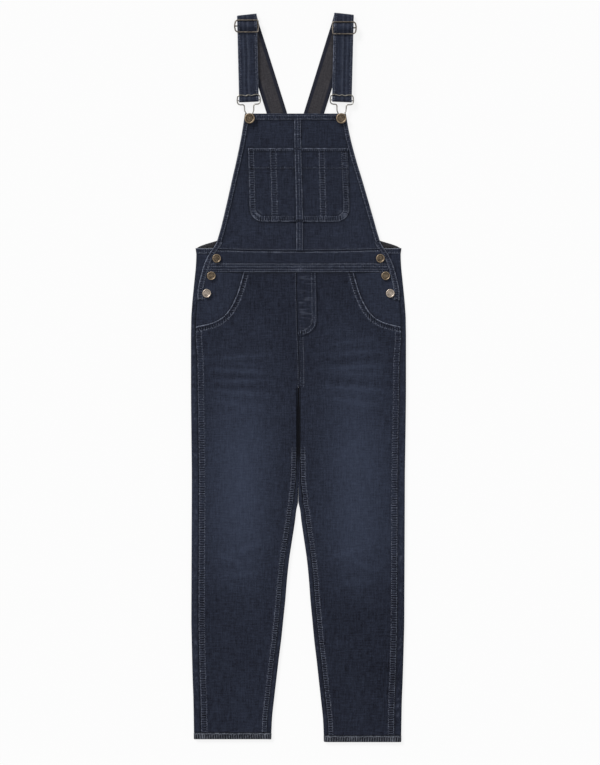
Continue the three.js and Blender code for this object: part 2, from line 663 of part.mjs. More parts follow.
// Bib pocket, and the felled strip down its centre
const pocketCentre = (y) => read(BIB_SEAM, y, 'x');
const overSeam = (x, y) => smoothStep(22, 10, Math.abs(x - read(BIB_SEAM, y, 'x')));
const pocketLevel = (x, y) => upperLevel(x, y) + GAP + WALL + (TRIM_WALL + GAP) * overSeam(x, y)
  + 0.5 * smoothStep(POCKET_TOP - POCKET_HEM - 3, POCKET_TOP - POCKET_HEM + 1, y);
const POCKET_ROWS = [...[0, 2, 6, 12, 19, POCKET_CORNER].map((rise) => POCKET_FOOT + rise), 345, 372,
  POCKET_TOP - POCKET_HEM - 3, POCKET_TOP - POCKET_HEM + 1, 425, POCKET_TOP];
function pocketHalf(y) {
  const short = Math.max(0, POCKET_CORNER - (y - POCKET_FOOT));
  return POCKET_HALF - POCKET_CORNER + Math.sqrt(POCKET_CORNER ** 2 - short ** 2);
}
addPiece('bib_pocket', panel({
  from: POCKET_ROWS.map((y) => [pocketCentre(y) - pocketHalf(y), y]),
  to: POCKET_ROWS.map((y) => [pocketCentre(y) + pocketHalf(y), y]),
  level: pocketLevel,
  margins: [0, 25, 50, 74, 84, 92],
  inner: 2,
}), DENIM);
const POCKET_FELL_ROWS = [POCKET_FOOT + 3, 345, POCKET_TOP - POCKET_HEM - 3, POCKET_TOP - POCKET_HEM + 1,
  POCKET_TOP - 3];
addPiece('bib_pocket_fell', panel({
  from: POCKET_FELL_ROWS.map((y) => [read(BIB_SEAM, y, 'x') - BIB_FELL / 2, y]),
  to: POCKET_FELL_ROWS.map((y) => [read(BIB_SEAM, y, 'x') + BIB_FELL / 2, y]),
  level: (x, y) => pocketLevel(x, y) + GAP + TRIM_WALL,
  wall: TRIM_WALL,
  inner: 1,
}), DENIM);

// Leg hems: doubled tubes round the foot of each leg
const HEM_WALL = 2.0;
const HEM_TUCK = 0.4;
for (const { label, sign } of SIDES) {
  const sections = [HEM_END, HEM_END + HEM_DEPTH / 2, HEM_END + HEM_DEPTH].map((y) => {
    const inner = seam(INNER_FOLD, y, 'gap') - HEM_TUCK;
    const outer = seam(SIDE_FOLD, y, 'half') + HEM_TUCK;
    const radius = HEM_LEVEL / 2;
    const top = spaced(outer - radius, inner + radius, 6).slice(1, -1)
      .map((x) => ({ face: lie(sign * x, y, HEM_LEVEL), back: lie(sign * x, y, HEM_LEVEL - HEM_WALL) }));
    return [
      ...foldArc(inner + radius, y, HEM_LEVEL, sign, 90, 270, 4, HEM_WALL),
      ...underside(inner + radius, outer - radius, y, sign, 6, HEM_WALL),
      ...foldArc(outer - radius, y, HEM_LEVEL, sign, -90, 90, 4, HEM_WALL),
      ...top,
    ];
  });
  addPiece(`leg_hem_${label}`, clothWall(sections, { tube: true }), DENIM);
}

// Shoulder straps: stations along the middle, each with its height and how its width leans
const STRAP_FOLD = 2.65;
const STRAP_FRONT_LEAN = -0.024;
const STRAP_CLIP_LEAN = -0.04;
const STRAP_TOP_LEAN = -0.1075;
const UNDER_BAR = SLIDE_LEVEL - SLIDE_WIRE - GAP - STRAP_WALL / 2;
const OVER_BAR = SLIDE_LEVEL + SLIDE_WIRE + GAP + STRAP_WALL / 2;
function strapStations(slideY) {
  const stations = [];
  const add = (x, y, z, lean, half = STRAP_HALF) => stations.push({ x, y, z, lean, half });
  const backX = (y) => STRAP_ROOT + STRAP_LEAN * (y - BACK_BIB_TOP);
  const frontX = (y) => STRAP_PLACE.x - STRAP_FRONT_LEAN * (y - STRAP_PLACE.y);
  const onFloor = STRAP_WALL / 2;
  add(backX(BACK_BIB_TOP + GAP), BACK_BIB_TOP + GAP, onFloor, 0, STRAP_HALF * Math.hypot(1, STRAP_LEAN));
  for (const y of [484, 530, 580, 640, 690]) add(backX(y), y, onFloor, -STRAP_LEAN);
  for (const degrees of spaced(-90, 90, 6)) {
    const angle = THREE.MathUtils.degToRad(degrees);
    const lean = STRAP_TOP_LEAN + 0.35 * (STRAP_TOP_LEAN + STRAP_LEAN) * Math.min(0, degrees / 90);
    const rise = onFloor + STRAP_FOLD * (1 + Math.sin(angle));
    add(TOP_FOLD.x, TOP_FOLD.y + STRAP_FOLD * Math.cos(angle), rise, lean);
  }
  const top = slideY + SLIDE_BAR;
  const foot = slideY - SLIDE_BAR;
  const weave = [
    { y: top, z: UNDER_BAR - 0.1 },
    { y: top - 2.4, z: UNDER_BAR + 0.6 },
    { y: slideY + 2.4, z: OVER_BAR - 0.6 },
    { y: slideY, z: OVER_BAR },
    { y: slideY - 2.4, z: OVER_BAR - 0.6 },
    { y: foot + 2.4, z: UNDER_BAR + 0.6 },
    { y: foot, z: UNDER_BAR - 0.1 },
  ];
  for (const { y, z } of weave) add(frontX(y), y, z, 0);
  const bar = BIB_BUTTON.y + CLIP_BAR;
  const barRadius = CLIP_WIRE + GAP + STRAP_WALL / 2;
  const run = [
    { y: foot - 5, z: 6.0 },
    { y: 620, z: 5.9 },
    { y: 570, z: 5.9 },
    { y: bar + 14, z: 6.1 },
    { y: bar + 9, z: 7.1 },
    { y: bar + 4.5, z: 8.6 },
  ];
  for (const { y, z } of run) add(frontX(y), y, z, STRAP_FRONT_LEAN);
  for (const degrees of spaced(90, 270, 4)) {
    const angle = THREE.MathUtils.degToRad(degrees);
    add(frontX(bar), bar + barRadius * Math.cos(angle), CLIP_LEVEL + barRadius * Math.sin(angle),
      STRAP_CLIP_LEAN);
  }
  const back = [
    { y: bar + 7, z: 3.9 },
    { y: bar + 20, z: 3.4 },
    { y: 610, z: 3.4 },
    { y: foot - 3, z: 3.4 },
    { y: foot + 3, z: 3.9 },
    { y: slideY - 3, z: UNDER_BAR - 0.2 },
    { y: slideY + 3, z: UNDER_BAR - 0.1 },
  ];
  for (const { y, z } of back) add(frontX(y), y, z, STRAP_FRONT_LEAN);
  return stations;
}
for (const { label, sign } of SIDES) {
  const stations = strapStations(SLIDE_Y[label]);
  const sections = stations.map(({ x, y, z, lean, half }, i) => {
    const before = stations[Math.max(0, i - 1)];
    const after = stations[Math.min(stations.length - 1, i + 1)];
    const length = Math.hypot(after.y - before.y, after.z - before.z);
    const outY = ((after.z - before.z) / length) * (STRAP_WALL / 2);
    const outZ = ((before.y - after.y) / length) * (STRAP_WALL / 2);
    const size = Math.hypot(1, lean);
    return [-half, 0, half].map((across) => {
      const px = x + across / size;
      const py = y + (across * lean) / size;
      return { face: lie(sign * px, py + outY, z + outZ), back: lie(sign * px, py - outY, z - outZ) };
    });
  });
  addPiece(`strap_${label}`, clothWall(sections), DENIM);
}

/** Points of a rounded corner, from one angle to another, in local across and along sizes. */
function corner(x, y, radius, fromAngle, toAngle, steps) {
  return spaced(fromAngle, toAngle, steps).map((degrees) => {
    const angle = THREE.MathUtils.degToRad(degrees);
    return { x: x + radius * Math.cos(angle), y: y + radius * Math.sin(angle) };
  });
}

// Slides: a wire frame with a hidden centre bar
const SLIDE_INNER = -21.1;
const SLIDE_OUTER = 23.6;
const SLIDE_INSET = 0.3;
const SLIDE_ROUND = { inner: 2.4, outer: 6.5 };
for (const { label, sign } of SIDES) {
  const { inner, outer } = SLIDE_ROUND;
  const frame = [
    ...corner(SLIDE_OUTER - outer, SLIDE_BAR - outer, outer, 90, 0, 3),
    { x: SLIDE_OUTER + 0.6, y: 0 },
    ...corner(SLIDE_OUTER - outer, -SLIDE_BAR + outer, outer, 0, -90, 3),
    ...corner(SLIDE_INNER + inner, -SLIDE_BAR + inner, inner, -90, -180, 2),
    { x: SLIDE_INNER - 0.5, y: 0 },
    ...corner(SLIDE_INNER + inner, SLIDE_BAR - inner, inner, 180, 90, 2),
  ];
  const place = ({ x, y }) => lie(sign * (STRAP_PLACE.x - SLIDE_INSET + x), SLIDE_Y[label] + y, SLIDE_LEVEL);
  const bar = [{ x: SLIDE_INNER - 0.4, y: 0 }, { x: 0, y: 0 }, { x: SLIDE_OUTER + 0.4, y: 0 }].map(place);
  addPiece(`slide_${label}`, joined(wire(frame.map(place), SLIDE_WIRE, { loop: true }),
    wire(bar, SLIDE_WIRE)), WIRE);
}

// Clips: one bent wire, up over the strap's end and down round the bib button's shank, with a bar
const CLIP_HALF = [
  { x: 0, y: 45.8, z: 3.2 },
  { x: 5.5, y: 44.2, z: 3.2 },
  { x: 11, y: 45.6, z: 3.2 },
  { x: 17.4, y: 45.8, z: 3.2 },
  { x: 21.0, y: 43.4, z: 2.7 },
  { x: 22.2, y: 39, z: 0.8 },
  { x: 22.6, y: 34, z: 0 },
  { x: 20.8, y: 29.2, z: 0 },
  { x: 17, y: 27.4, z: 0 },
  { x: 11.6, y: 27.1, z: 0 },
  { x: 9.4, y: 25, z: 0 },
  { x: 9.0, y: 20, z: 0 },
  { x: 8.6, y: 15, z: 0 },
  { x: 6.6, y: 10.5, z: 0 },
  { x: 5.5, y: 5, z: 0 },
  { x: 5.2, y: 0, z: 0 },
  { x: 3.7, y: -3.7, z: 0 },
  { x: 0, y: -5.2, z: 0 },
];
const CLIP_LEAN = { left: 2.5, right: 2 };
for (const { label, sign } of SIDES) {
  const lean = THREE.MathUtils.degToRad(CLIP_LEAN[label]);
  const place = ({ x, y, z }) => lie(
    sign * (BIB_BUTTON.x + x * Math.cos(lean) + y * Math.sin(lean)),
    BIB_BUTTON.y + y * Math.cos(lean) - x * Math.sin(lean),
    CLIP_LEVEL + z,
  );
  const mirrored = CLIP_HALF.slice(1, -1).reverse().map(({ x, y, z }) => ({ x: -x, y, z }));
  const loop = [...CLIP_HALF, ...mirrored].map(place);
  const bar = [-22.5, 0, 22.5].map((x) => place({ x, y: CLIP_BAR, z: 0 }));
  addPiece(`clip_${label}`, joined(wire(loop, CLIP_WIRE, { loop: true }), wire(bar, CLIP_WIRE)), WIRE);
}

/** A shank button: a foot on the cloth, a shank, and a head with a rolled rim and a sunk middle. */
function button(x, y, base, { radius, shank, lift }) {
  const foot = base + GAP;
  const under = foot + lift;
  const profile = [
    [0, foot], [shank, foot], [shank, under], [radius - 1.2, under], [radius, under + 1.1],
    [radius - 0.6, under + 2.2], [radius - 1.9, under + 2.5], [radius - 3.1, under + 1.8], [0, under + 2.0],
  ].map(([r, z]) => new THREE.Vector2(r, z));
  const geometry = new THREE.LatheGeometry(profile, 14);
  geometry.rotateX(Math.PI / 2);
  const centre = lie(x, y, 0);
  geometry.translate(centre.x, centre.y, 0);
  return geometry;
}

// Bib buttons stand on the top hem, side buttons on the waistband and the facings
for (const { label, sign } of SIDES) {
  const hem = upperLevel(BIB_BUTTON.x, BIB_BUTTON.y) + GAP + TRIM_WALL;
  addPiece(`bib_button_${label}`,
    button(sign * BIB_BUTTON.x, BIB_BUTTON.y, hem, BIB_BUTTON), BRASS);
  SIDE_BUTTONS.forEach(({ x, y, base }, i) => {
    addPiece(`side_button_${label}_${i + 1}`, button(sign * x, y, base, SIDE_BUTTON), BRASS);
  });
}

export default dungarees;
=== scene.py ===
# Denim dungarees laid flat on their back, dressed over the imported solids.
# Tables and sizes are in millimetres of the garment laid out straight; lie() gives scene metres.
import math

import bmesh
import bpy
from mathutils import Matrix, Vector, noise


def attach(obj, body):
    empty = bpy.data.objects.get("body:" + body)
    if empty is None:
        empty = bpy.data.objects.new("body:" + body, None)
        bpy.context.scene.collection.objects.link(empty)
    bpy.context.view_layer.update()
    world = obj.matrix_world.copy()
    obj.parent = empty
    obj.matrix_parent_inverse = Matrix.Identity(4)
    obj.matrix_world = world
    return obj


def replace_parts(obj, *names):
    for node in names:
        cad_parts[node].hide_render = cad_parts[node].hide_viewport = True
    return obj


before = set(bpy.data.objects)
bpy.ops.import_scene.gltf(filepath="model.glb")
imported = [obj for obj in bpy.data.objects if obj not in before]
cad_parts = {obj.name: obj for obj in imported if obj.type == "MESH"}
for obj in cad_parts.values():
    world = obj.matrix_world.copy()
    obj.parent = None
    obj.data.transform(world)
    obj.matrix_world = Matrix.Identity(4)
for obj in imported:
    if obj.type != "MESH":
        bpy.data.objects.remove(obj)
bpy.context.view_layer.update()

# Camera: straight above the laid garment, through a long lens, framed as the photograph is.
# One picture pixel is 1.95 mm of garment.
PIXEL = 0.00195
PICTURE = (600, 765)
CAMERA_HEIGHT = 4.2
SENSOR = 36.0
CAMERA_OVER = (1.5 * PIXEL, -5.0 * PIXEL)
camera_data = bpy.data.cameras.new("camera")
camera_data.sensor_width = SENSOR
camera_data.lens = SENSOR * CAMERA_HEIGHT / (PICTURE[1] * PIXEL)
camera = bpy.data.objects.new("camera", camera_data)
camera.location = (*CAMERA_OVER, CAMERA_HEIGHT)
bpy.context.collection.objects.link(camera)
bpy.context.scene.camera = camera
bpy.context.scene.view_settings.view_transform = "Standard"

# Studio: a white sweep, lit through from below as a light table is, so that the garment throws
# almost no shadow on it. Two broad suns, the stronger one low on the upper left, show the seams.
FLOOR_HALF = 6.0
floor_bm = bmesh.new()
bmesh.ops.create_grid(floor_bm, x_segments=1, y_segments=1, size=FLOOR_HALF)
floor_mesh = bpy.data.meshes.new("floor")
floor_bm.to_mesh(floor_mesh)
floor_bm.free()
floor = bpy.data.objects.new("floor", floor_mesh)
bpy.context.collection.objects.link(floor)
floor_paint = bpy.data.materials.new("white_sweep")
floor_paint.use_nodes = True
floor_shader = floor_paint.node_tree.nodes["Principled BSDF"]
floor_shader.inputs["Base Color"].default_value = (0.16, 0.16, 0.16, 1)
floor_shader.inputs["Roughness"].default_value = 1.0
floor_shader.inputs["Specular IOR Level"].default_value = 0.0
floor_shader.inputs["Emission Color"].default_value = (1, 1, 1, 1)
floor_shader.inputs["Emission Strength"].default_value = 0.815
floor_mesh.materials.append(floor_paint)


def sun(name, direction, strength, spread):
    data = bpy.data.lights.new(name, "SUN")
    data.energy = strength
    data.angle = math.radians(spread)
    made = bpy.data.objects.new(name, data)
    made.rotation_euler = Vector(direction).to_track_quat("-Z", "Y").to_euler()
    bpy.context.collection.objects.link(made)


sun("sun_upper_left", (1.0, -1.15, -0.85), 2.5, 18)
sun("sun_right", (-1.0, 0.1, -1.6), 0.45, 40)
world = bpy.data.worlds.new("studio")
world.use_nodes = True
world.node_tree.nodes["Background"].inputs["Color"].default_value = (1, 1, 1, 1)
world.node_tree.nodes["Background"].inputs["Strength"].default_value = 0.5
bpy.context.scene.world = world


# Denim: indigo warp over a pale weft in right-hand twill, rope-dyed, washed once and softly faded on
# the thighs. The weave runs in each piece's own UV map, in metres.
def srgb(red, green, blue):
    def linear(value):
        value /= 255
        return value / 12.92 if value <= 0.04045 else ((value + 0.055) / 1.055) ** 2.4
    return (linear(red), linear(green), linear(blue), 1)


def put(tree, kind, inputs=None, **settings):
    """A node with its settings and inputs; an input is a value or another node's socket."""
    made = tree.nodes.new(kind)
    for key, value in settings.items():
        setattr(made, key, value)
    for name, value in (inputs or {}).items():
        if isinstance(value, bpy.types.NodeSocket):
            tree.links.new(value, made.inputs[name])
        else:
            made.inputs[name].default_value = value
    return made


def sums(tree, operation, first, second=0.0, third=0.0):
    return put(tree, "ShaderNodeMath", {0: first, 1: second, 2: third}, operation=operation).outputs[0]


def noise_of(tree, place, scale, detail=2.0):
    return put(tree, "ShaderNodeTexNoise", {"Vector": place, "Scale": scale, "Detail": detail}).outputs["Fac"]


def blend(tree, share, first, second, **settings):
    return put(tree, "ShaderNodeMix", {"Factor": share, 6: first, 7: second}, data_type="RGBA",
               **settings).outputs[2]


def attribute(tree, name):
    return put(tree, "ShaderNodeAttribute", attribute_name=name).outputs["Fac"]


def new_material(name):
    material = bpy.data.materials.new(name)
    material.use_nodes = True
    return material, material.node_tree, material.node_tree.nodes["Principled BSDF"]


def new_group(name, inputs, outputs):
    group = bpy.data.node_groups.new(name, "ShaderNodeTree")
    kinds = {"colour": "NodeSocketColor", "value": "NodeSocketFloat", "vector": "NodeSocketVector"}
    for label, kind in inputs:
        group.interface.new_socket(label, in_out="INPUT", socket_type=kinds[kind])
    for label, kind in outputs:
        group.interface.new_socket(label, in_out="OUTPUT", socket_type=kinds[kind])
    return group, group.nodes.new("NodeGroupInput").outputs, group.nodes.new("NodeGroupOutput").inputs


TWILL_PITCH = 0.0011
BAR_PITCH = 0.0047
# Marks: the dye's fading; a second mark that is real rubbing above zero and painted shade below it; the
# needle rows; the fine ridges of shrunk seams.
MARKS = ("fade", "wear_and_shade", "sewn", "bars")
weave, weave_in, weave_out = new_group(
    "twill_weave",
    [("Cloth", "vector"), ("Dark", "colour"), ("Washed", "colour"), ("Weft", "colour"), ("Worn", "colour"),
     ("Fade", "value"), ("Wear_and_shade", "value"), ("Sewn", "value"), ("Bars", "value"), ("Weft Show", "value")],
    [("Colour", "colour"), ("Roughness", "value"), ("Height", "value")],
)


def stretched_noise(tree, cloth, across, along, detail=2.0):
    """Noise drawn out along the warp: counts per metre across and along."""
    place = put(tree, "ShaderNodeMapping", {"Vector": cloth, "Scale": (across, along, 1)}).outputs[0]
    return noise_of(tree, place, 1.0, detail)


cloth_uv = weave_in["Cloth"]
parts = put(weave, "ShaderNodeSeparateXYZ", {0: cloth_uv}).outputs
twill_phase = sums(weave, "MULTIPLY", sums(weave, "ADD", parts["X"], parts["Y"]), 2 * math.pi / TWILL_PITCH)
twill = sums(weave, "MULTIPLY_ADD", sums(weave, "SINE", twill_phase), 0.5, 0.5)
yarns = stretched_noise(weave, cloth_uv, 900, 240)
slubs = stretched_noise(weave, cloth_uv, 380, 40)
cross_slubs = stretched_noise(weave, cloth_uv, 60, 420)
mottle = stretched_noise(weave, cloth_uv, 120, 90, 4.0)
clouds = stretched_noise(weave, cloth_uv, 12, 8, 3.0)
tone = weave_in["Fade"]
for layer, strength in ((slubs, 0.85), (cross_slubs, 0.8), (yarns, 0.9), (mottle, 0.35), (clouds, 0.3)):
    tone = sums(weave, "MULTIPLY_ADD", sums(weave, "SUBTRACT", layer, 0.5), strength, tone)
dyed = blend(weave, tone, weave_in["Dark"], weave_in["Washed"], clamp_factor=False)
weft_mask = sums(weave, "MULTIPLY", sums(weave, "POWER", twill, 3.0), weave_in["Weft Show"])
woven = blend(weave, weft_mask, dyed, weave_in["Weft"])
pricks = sums(weave, "SUBTRACT", noise_of(weave, cloth_uv, 360.0, 1.0), 0.53)
pricks = sums(weave, "MULTIPLY", pricks, weave_in["Sewn"])
# The second mark with the needle pricks: above zero the cloth is rubbed toward its worn colour, below zero it
# is painted shade.
worn = sums(weave, "MULTIPLY_ADD", pricks, 2.2, weave_in["Wear_and_shade"])
level_bars = sums(weave, "GREATER_THAN", weave_in["Bars"], 0.0)
bar_run = put(weave, "ShaderNodeMix", {"Factor": level_bars, 2: parts["X"], 3: parts["Y"]}).outputs[0]
bar_drift = sums(weave, "MULTIPLY", noise_of(weave, cloth_uv, 38.0, 1.0), 4.5)
bar_phase = sums(weave, "MULTIPLY_ADD", bar_run, 2 * math.pi / BAR_PITCH, bar_drift)
bar_strength = sums(weave, "MULTIPLY_ADD", noise_of(weave, cloth_uv, 90.0), 2.4, -0.6)
bar_strength = sums(weave, "MULTIPLY", bar_strength, sums(weave, "ABSOLUTE", weave_in["Bars"]))
bar_dips = sums(weave, "SUBTRACT", sums(weave, "SINE", bar_phase), 0.4)
worn = sums(weave, "MULTIPLY_ADD", bar_dips, bar_strength, worn)
rubbed = sums(weave, "MULTIPLY", sums(weave, "MAXIMUM", worn, 0.0),
              sums(weave, "MULTIPLY_ADD", mottle, 1.4, sums(weave, "MULTIPLY_ADD", yarns, 0.8, -0.1)))
lightened = blend(weave, rubbed, woven, weave_in["Worn"])
# Painted shade: a mark below zero scales the colour down, to a fifth at most.
painted_shade_scale = sums(weave, "ADD", sums(weave, "MAXIMUM", sums(weave, "MINIMUM", worn, 0.0), -0.8), 1.0)
shaded = put(weave, "ShaderNodeVectorMath", {0: lightened, "Scale": painted_shade_scale}, operation="SCALE").outputs[0]
weave.links.new(shaded, weave_out["Colour"])
weave.links.new(sums(weave, "MULTIPLY_ADD", mottle, 0.12, 0.8), weave_out["Roughness"])
surface = sums(weave, "MULTIPLY_ADD", yarns, 0.7, sums(weave, "MULTIPLY", twill, 0.5))
weave.links.new(sums(weave, "MULTIPLY_ADD", slubs, 0.5, surface), weave_out["Height"])


def cloth_material(name, dark, washed, weft, worn, weft_show, depth=0.00016, sheen=0.04):
    """Colours: dyed, washed, the weft's, and rubbed bare. The marks are the piece's own attributes."""
    material, tree, shader = new_material(name)
    values = {"Cloth": put(tree, "ShaderNodeUVMap", uv_map="cloth").outputs[0], "Dark": dark,
              "Washed": washed, "Weft": weft, "Worn": worn, "Weft Show": weft_show}
    for layer in MARKS:
        values[layer.capitalize()] = attribute(tree, layer)
    group = put(tree, "ShaderNodeGroup", node_tree=weave)
    for socket, value in values.items():
        if isinstance(value, bpy.types.NodeSocket):
            tree.links.new(value, group.inputs[socket])
        else:
            group.inputs[socket].default_value = value
    bump = put(tree, "ShaderNodeBump",
               {"Height": group.outputs["Height"], "Distance": depth, "Strength": 0.8})
    tree.links.new(group.outputs["Colour"], shader.inputs["Base Color"])
    tree.links.new(group.outputs["Roughness"], shader.inputs["Roughness"])
    tree.links.new(bump.outputs[0], shader.inputs["Normal"])
    shader.inputs["Sheen Weight"].default_value = sheen
    shader.inputs["Sheen Roughness"].default_value = 0.5
    shader.inputs["Specular IOR Level"].default_value = 0.1
    return material


denim = cloth_material("indigo_denim", srgb(27, 31, 44), srgb(54, 61, 79), srgb(96, 102, 116),
                       srgb(112, 118, 134), 0.08)
reverse = cloth_material("denim_reverse", srgb(30, 30, 34), srgb(57, 56, 61), srgb(101, 99, 100),
                         srgb(120, 116, 112), 0.24)


def smooth_step(low, high, value):
    t = min(1.0, max(0.0, (value - low) / (high - low)))
    return t * t * (3 - 2 * t)


def table(columns, *rows):
    return [dict(zip(columns.split(), row)) for row in rows]


def read(rows, y, column):
    """Smooth reading of a table by its y, with no overshoot between its rows."""
    last = len(rows) - 1
    if y <= rows[0]["y"]:
        return rows[0][column]
    if y >= rows[last]["y"]:
        return rows[last][column]
    row = next(i for i in range(last) if rows[i + 1]["y"] > y)

    def slope(i):
        return (rows[i + 1][column] - rows[i][column]) / (rows[i + 1]["y"] - rows[i]["y"])

    def tangent(i):
        if i == 0:
            return slope(0)
        if i == last:
            return slope(last - 1)
        before, after = slope(i - 1), slope(i)
        return 0.0 if before * after <= 0 else 2 * before * after / (before + after)

    span = rows[row + 1]["y"] - rows[row]["y"]
    t = (y - rows[row]["y"]) / span
    return ((1 + 2 * t) * (1 - t) ** 2 * rows[row][column] + t * t * (3 - 2 * t) * rows[row + 1][column]
            + t * (1 - t) ** 2 * span * tangent(row) + t * t * (t - 1) * span * tangent(row + 1))


def lie(x, y, z):
    """How the garment lies: the bib leans left, the legs swing a little, the waist seam sags."""
    side = max(-1.0, min(1.0, x / 60))
    sway = -6 * smooth_step(272, 512, y) - 1.8 * smooth_step(-20, -707, y)
    leg_drop = -2.8 * side * smooth_step(-245, -707, y)
    strap_rise = 0.9 * side * smooth_step(530, 700, y)
    sag = -3 * max(0.0, 1 - (x / 165) ** 2) * smooth_step(296, 252, y) * smooth_step(208, 244, y)
    return Vector(((x + sway) / 1000, (y + leg_drop + strap_rise + sag) / 1000, z / 1000))


def spots(rows, x, y):
    """Sum of soft strokes: each a rise along a short turned line, fading out on all sides."""
    total = 0.0
    for row in rows:
        if (x < 0) != (row["side"] < 0):
            continue
        turn = math.radians(row["turn"])
        dx, dy = abs(x) - row["x"], y - row["y"]
        along = (dx * math.cos(turn) + dy * math.sin(turn)) / row["long"]
        across = (dy * math.cos(turn) - dx * math.sin(turn)) / row["wide"]
        if abs(along) < 2.4 and abs(across) < 2.4:
            total += row["rise"] * math.exp(-along * along - across * across)
    return total


# Wash: the denim's fading. The dye has gone in strokes, as whiskers on the hips, and in soft patches
# down the middle of each leg, where wear and washing reach it most.
WHISKERS = table(
    "side x y long wide turn rise",
    (-1, 112, 40, 52, 4.2, -4, 0.13), (-1, 108, 26, 44, 3.4, 5, 0.08), (-1, 118, 13, 56, 4.6, 3, 0.15),
    (-1, 116, -7, 54, 4.2, -2, 0.13), (-1, 112, -30, 50, 5.0, 6, 0.12), (-1, 126, -52, 44, 6.0, 12, 0.09),
    (-1, 108, 2, 50, 4.0, 2, -0.08), (-1, 110, -19, 48, 4.4, 2, -0.07), (1, 108, 34, 52, 4.4, 4, -0.08),
    (1, 104, -8, 50, 4.2, -3, -0.08), (1, 98, 69, 48, 4.2, 8, 0.1), (1, 104, 48, 54, 4.0, 4, 0.12),
    (1, 108, 20, 60, 4.6, 3, 0.16), (1, 104, 7, 52, 3.6, -3, 0.1), (1, 112, -22, 58, 4.4, -4, 0.14),
    (1, 108, -48, 50, 5.2, -8, 0.11),
    (-1, 96, -330, 30, 7, -20, 0.1), (-1, 138, -352, 28, 6, 24, 0.1), (-1, 110, -384, 32, 7, -12, 0.1),
    (1, 92, -342, 30, 7, 18, 0.1), (1, 130, -366, 30, 6, -22, 0.1), (1, 112, -398, 34, 7, 10, 0.1),
)


FADE_DOWN = table(
    "y left right shin",
    (-700, 0.0, 0.0, 1.0), (-500, 0.0, 0.0, 1.0), (-453, 0.02, 0.03, 0.8), (-395, 0.2, 0.16, 0.2),
    (-336, 0.42, 0.38, 0.0), (-278, 0.6, 0.54, 0.0), (-200, 0.64, 0.56, 0.0), (-150, 0.63, 0.55, 0.0),
    (-100, 0.5, 0.42, 0.0), (-44, 0.36, 0.32, 0.0), (15, 0.14, 0.22, 0.0), (60, 0.04, 0.14, 0.0),
    (120, 0.0, 0.03, 0.0),
)


def fade_at(x, y):
    reach = abs(x)
    middle = 113 + 5 * smooth_step(0, -470, y)
    thigh = math.exp(-((reach - middle) / 66) ** 2) * read(FADE_DOWN, y, "left" if x < 0 else "right")
    hip = 0.05 * math.exp(-((reach - 100) / 60) ** 2) * smooth_step(205, 90, y)
    bib = 0.08 * smooth_step(222, 262, y)
    shin = (-0.02 if x < 0 else -0.1) * read(FADE_DOWN, y, "shin")
    return 0.02 + shin + thigh + hip + bib + spots(WHISKERS, x, y) * 2.3


# Back panels: one for each leg from waist to hem, cut from the same denim. Each lies under the front
# and wraps round both edges of the leg on to the front, where the outseam and inseam are sewn.
WALL = 1.2
TRIM = 1.0
GAP = 0.3
HEM_END, HEM_DEPTH, CROTCH = -707.4, 12.5, -20.0
OPENING_FOOT, FELL_FOOT, FELL_TOP, WAIST_SEAM = 150.2, 205.0, 220.4, 248.6
BACK_WAIST, BACK_BIB_TOP, BIB_TOP = 252.0, 468.3, 514.2
LEG_LEVEL, HIP_LEVEL, FACING_LEVEL, UNDERLAP_LEVEL = 5.2, 5.8, 4.3, 2.8
SIDES = (("left", -1), ("right", 1))
SIDE_FOLD = table(
    "y half wrap level",
    (-707.4, 201.8, 13.7, 5.2), (-629, 203.2, 13.7, 5.2), (-590, 204.7, 13.7, 5.2), (-512, 206.8, 13.7, 5.2),
    (-473, 207.6, 13.7, 5.2), (-200, 207.7, 13.7, 5.2), (-136, 208.4, 13.6, 5.2), (-80, 209.1, 13.4, 5.2),
    (-20, 209.6, 12.8, 5.2), (34, 209.6, 12.2, 5.75), (81, 209.6, 9.0, 5.8), (90, 209.5, 9.1, 5.7),
    (103, 209.3, 9.2, 4.4), (112, 209.2, 9.3, 4.3), (143, 207.3, 9.7, 4.3), (151, 206.7, 9.7, 2.85),
    (153, 206.5, 10.5, 2.8), (160, 205.8, 30, 2.8), (190, 202.8, 35, 2.8), (219, 200.0, 38, 2.8),
    (239, 199.2, 40, 2.8), (252, 200.8, 42, 2.8),
)
INNER_FOLD = table(
    "y gap wrap",
    (-707.4, 51.5, 9.0), (-668, 49.8, 9.0), (-629, 45.8, 9.0), (-590, 41.4, 9.0), (-551, 37.0, 9.0),
    (-512, 32.2, 9.0), (-473, 28.3, 9.0), (-434, 24.4, 9.0), (-395, 21.4, 9.0), (-356, 17.4, 9.0),
    (-317, 11.7, 9.0), (-278, 5.9, 9.0), (-258, 3.6, 9.0), (-243, 0.7, 9.0), (-200, 0.5, 4.6),
    (-136, 0.5, 3.2), (-80, 0.5, 3.2), (-20, 0.5, 3.2),
)
BACK_CREASES = table(
    "side x y long wide turn rise",
    (-1, 130, 40, 60, 8, -14, 0.5), (-1, 104, -40, 52, 9, -24, 0.45), (-1, 92, -120, 40, 8, -34, 0.3),
    (-1, 128, -330, 54, 9, 16, 0.5), (-1, 110, -362, 48, 8, -12, 0.45), (-1, 130, -590, 44, 8, 30, 0.3),
    (1, 122, 46, 58, 8, 16, 0.5), (1, 100, -34, 56, 9, 26, 0.45), (1, 96, -132, 38, 8, 30, 0.3),
    (1, 118, -340, 56, 9, -14, 0.5), (1, 126, -372, 46, 8, 10, 0.45), (1, 116, -600, 46, 8, -26, 0.3),
)


def side_fold(y):
    return read(SIDE_FOLD, y, "half")


def inner_fold(y):
    return read(INNER_FOLD, y, "gap")


def inseam(y):
    """The seam between the back's inner wrap and the front."""
    return read(INNER_FOLD, y, "gap") + read(INNER_FOLD, y, "wrap")


def drift(x, y, wide, high, seed):
    """Smooth unevenness from about -1 to 1, with swells of the given width and height."""
    return noise.noise(Vector((x / wide, y / high, seed)))


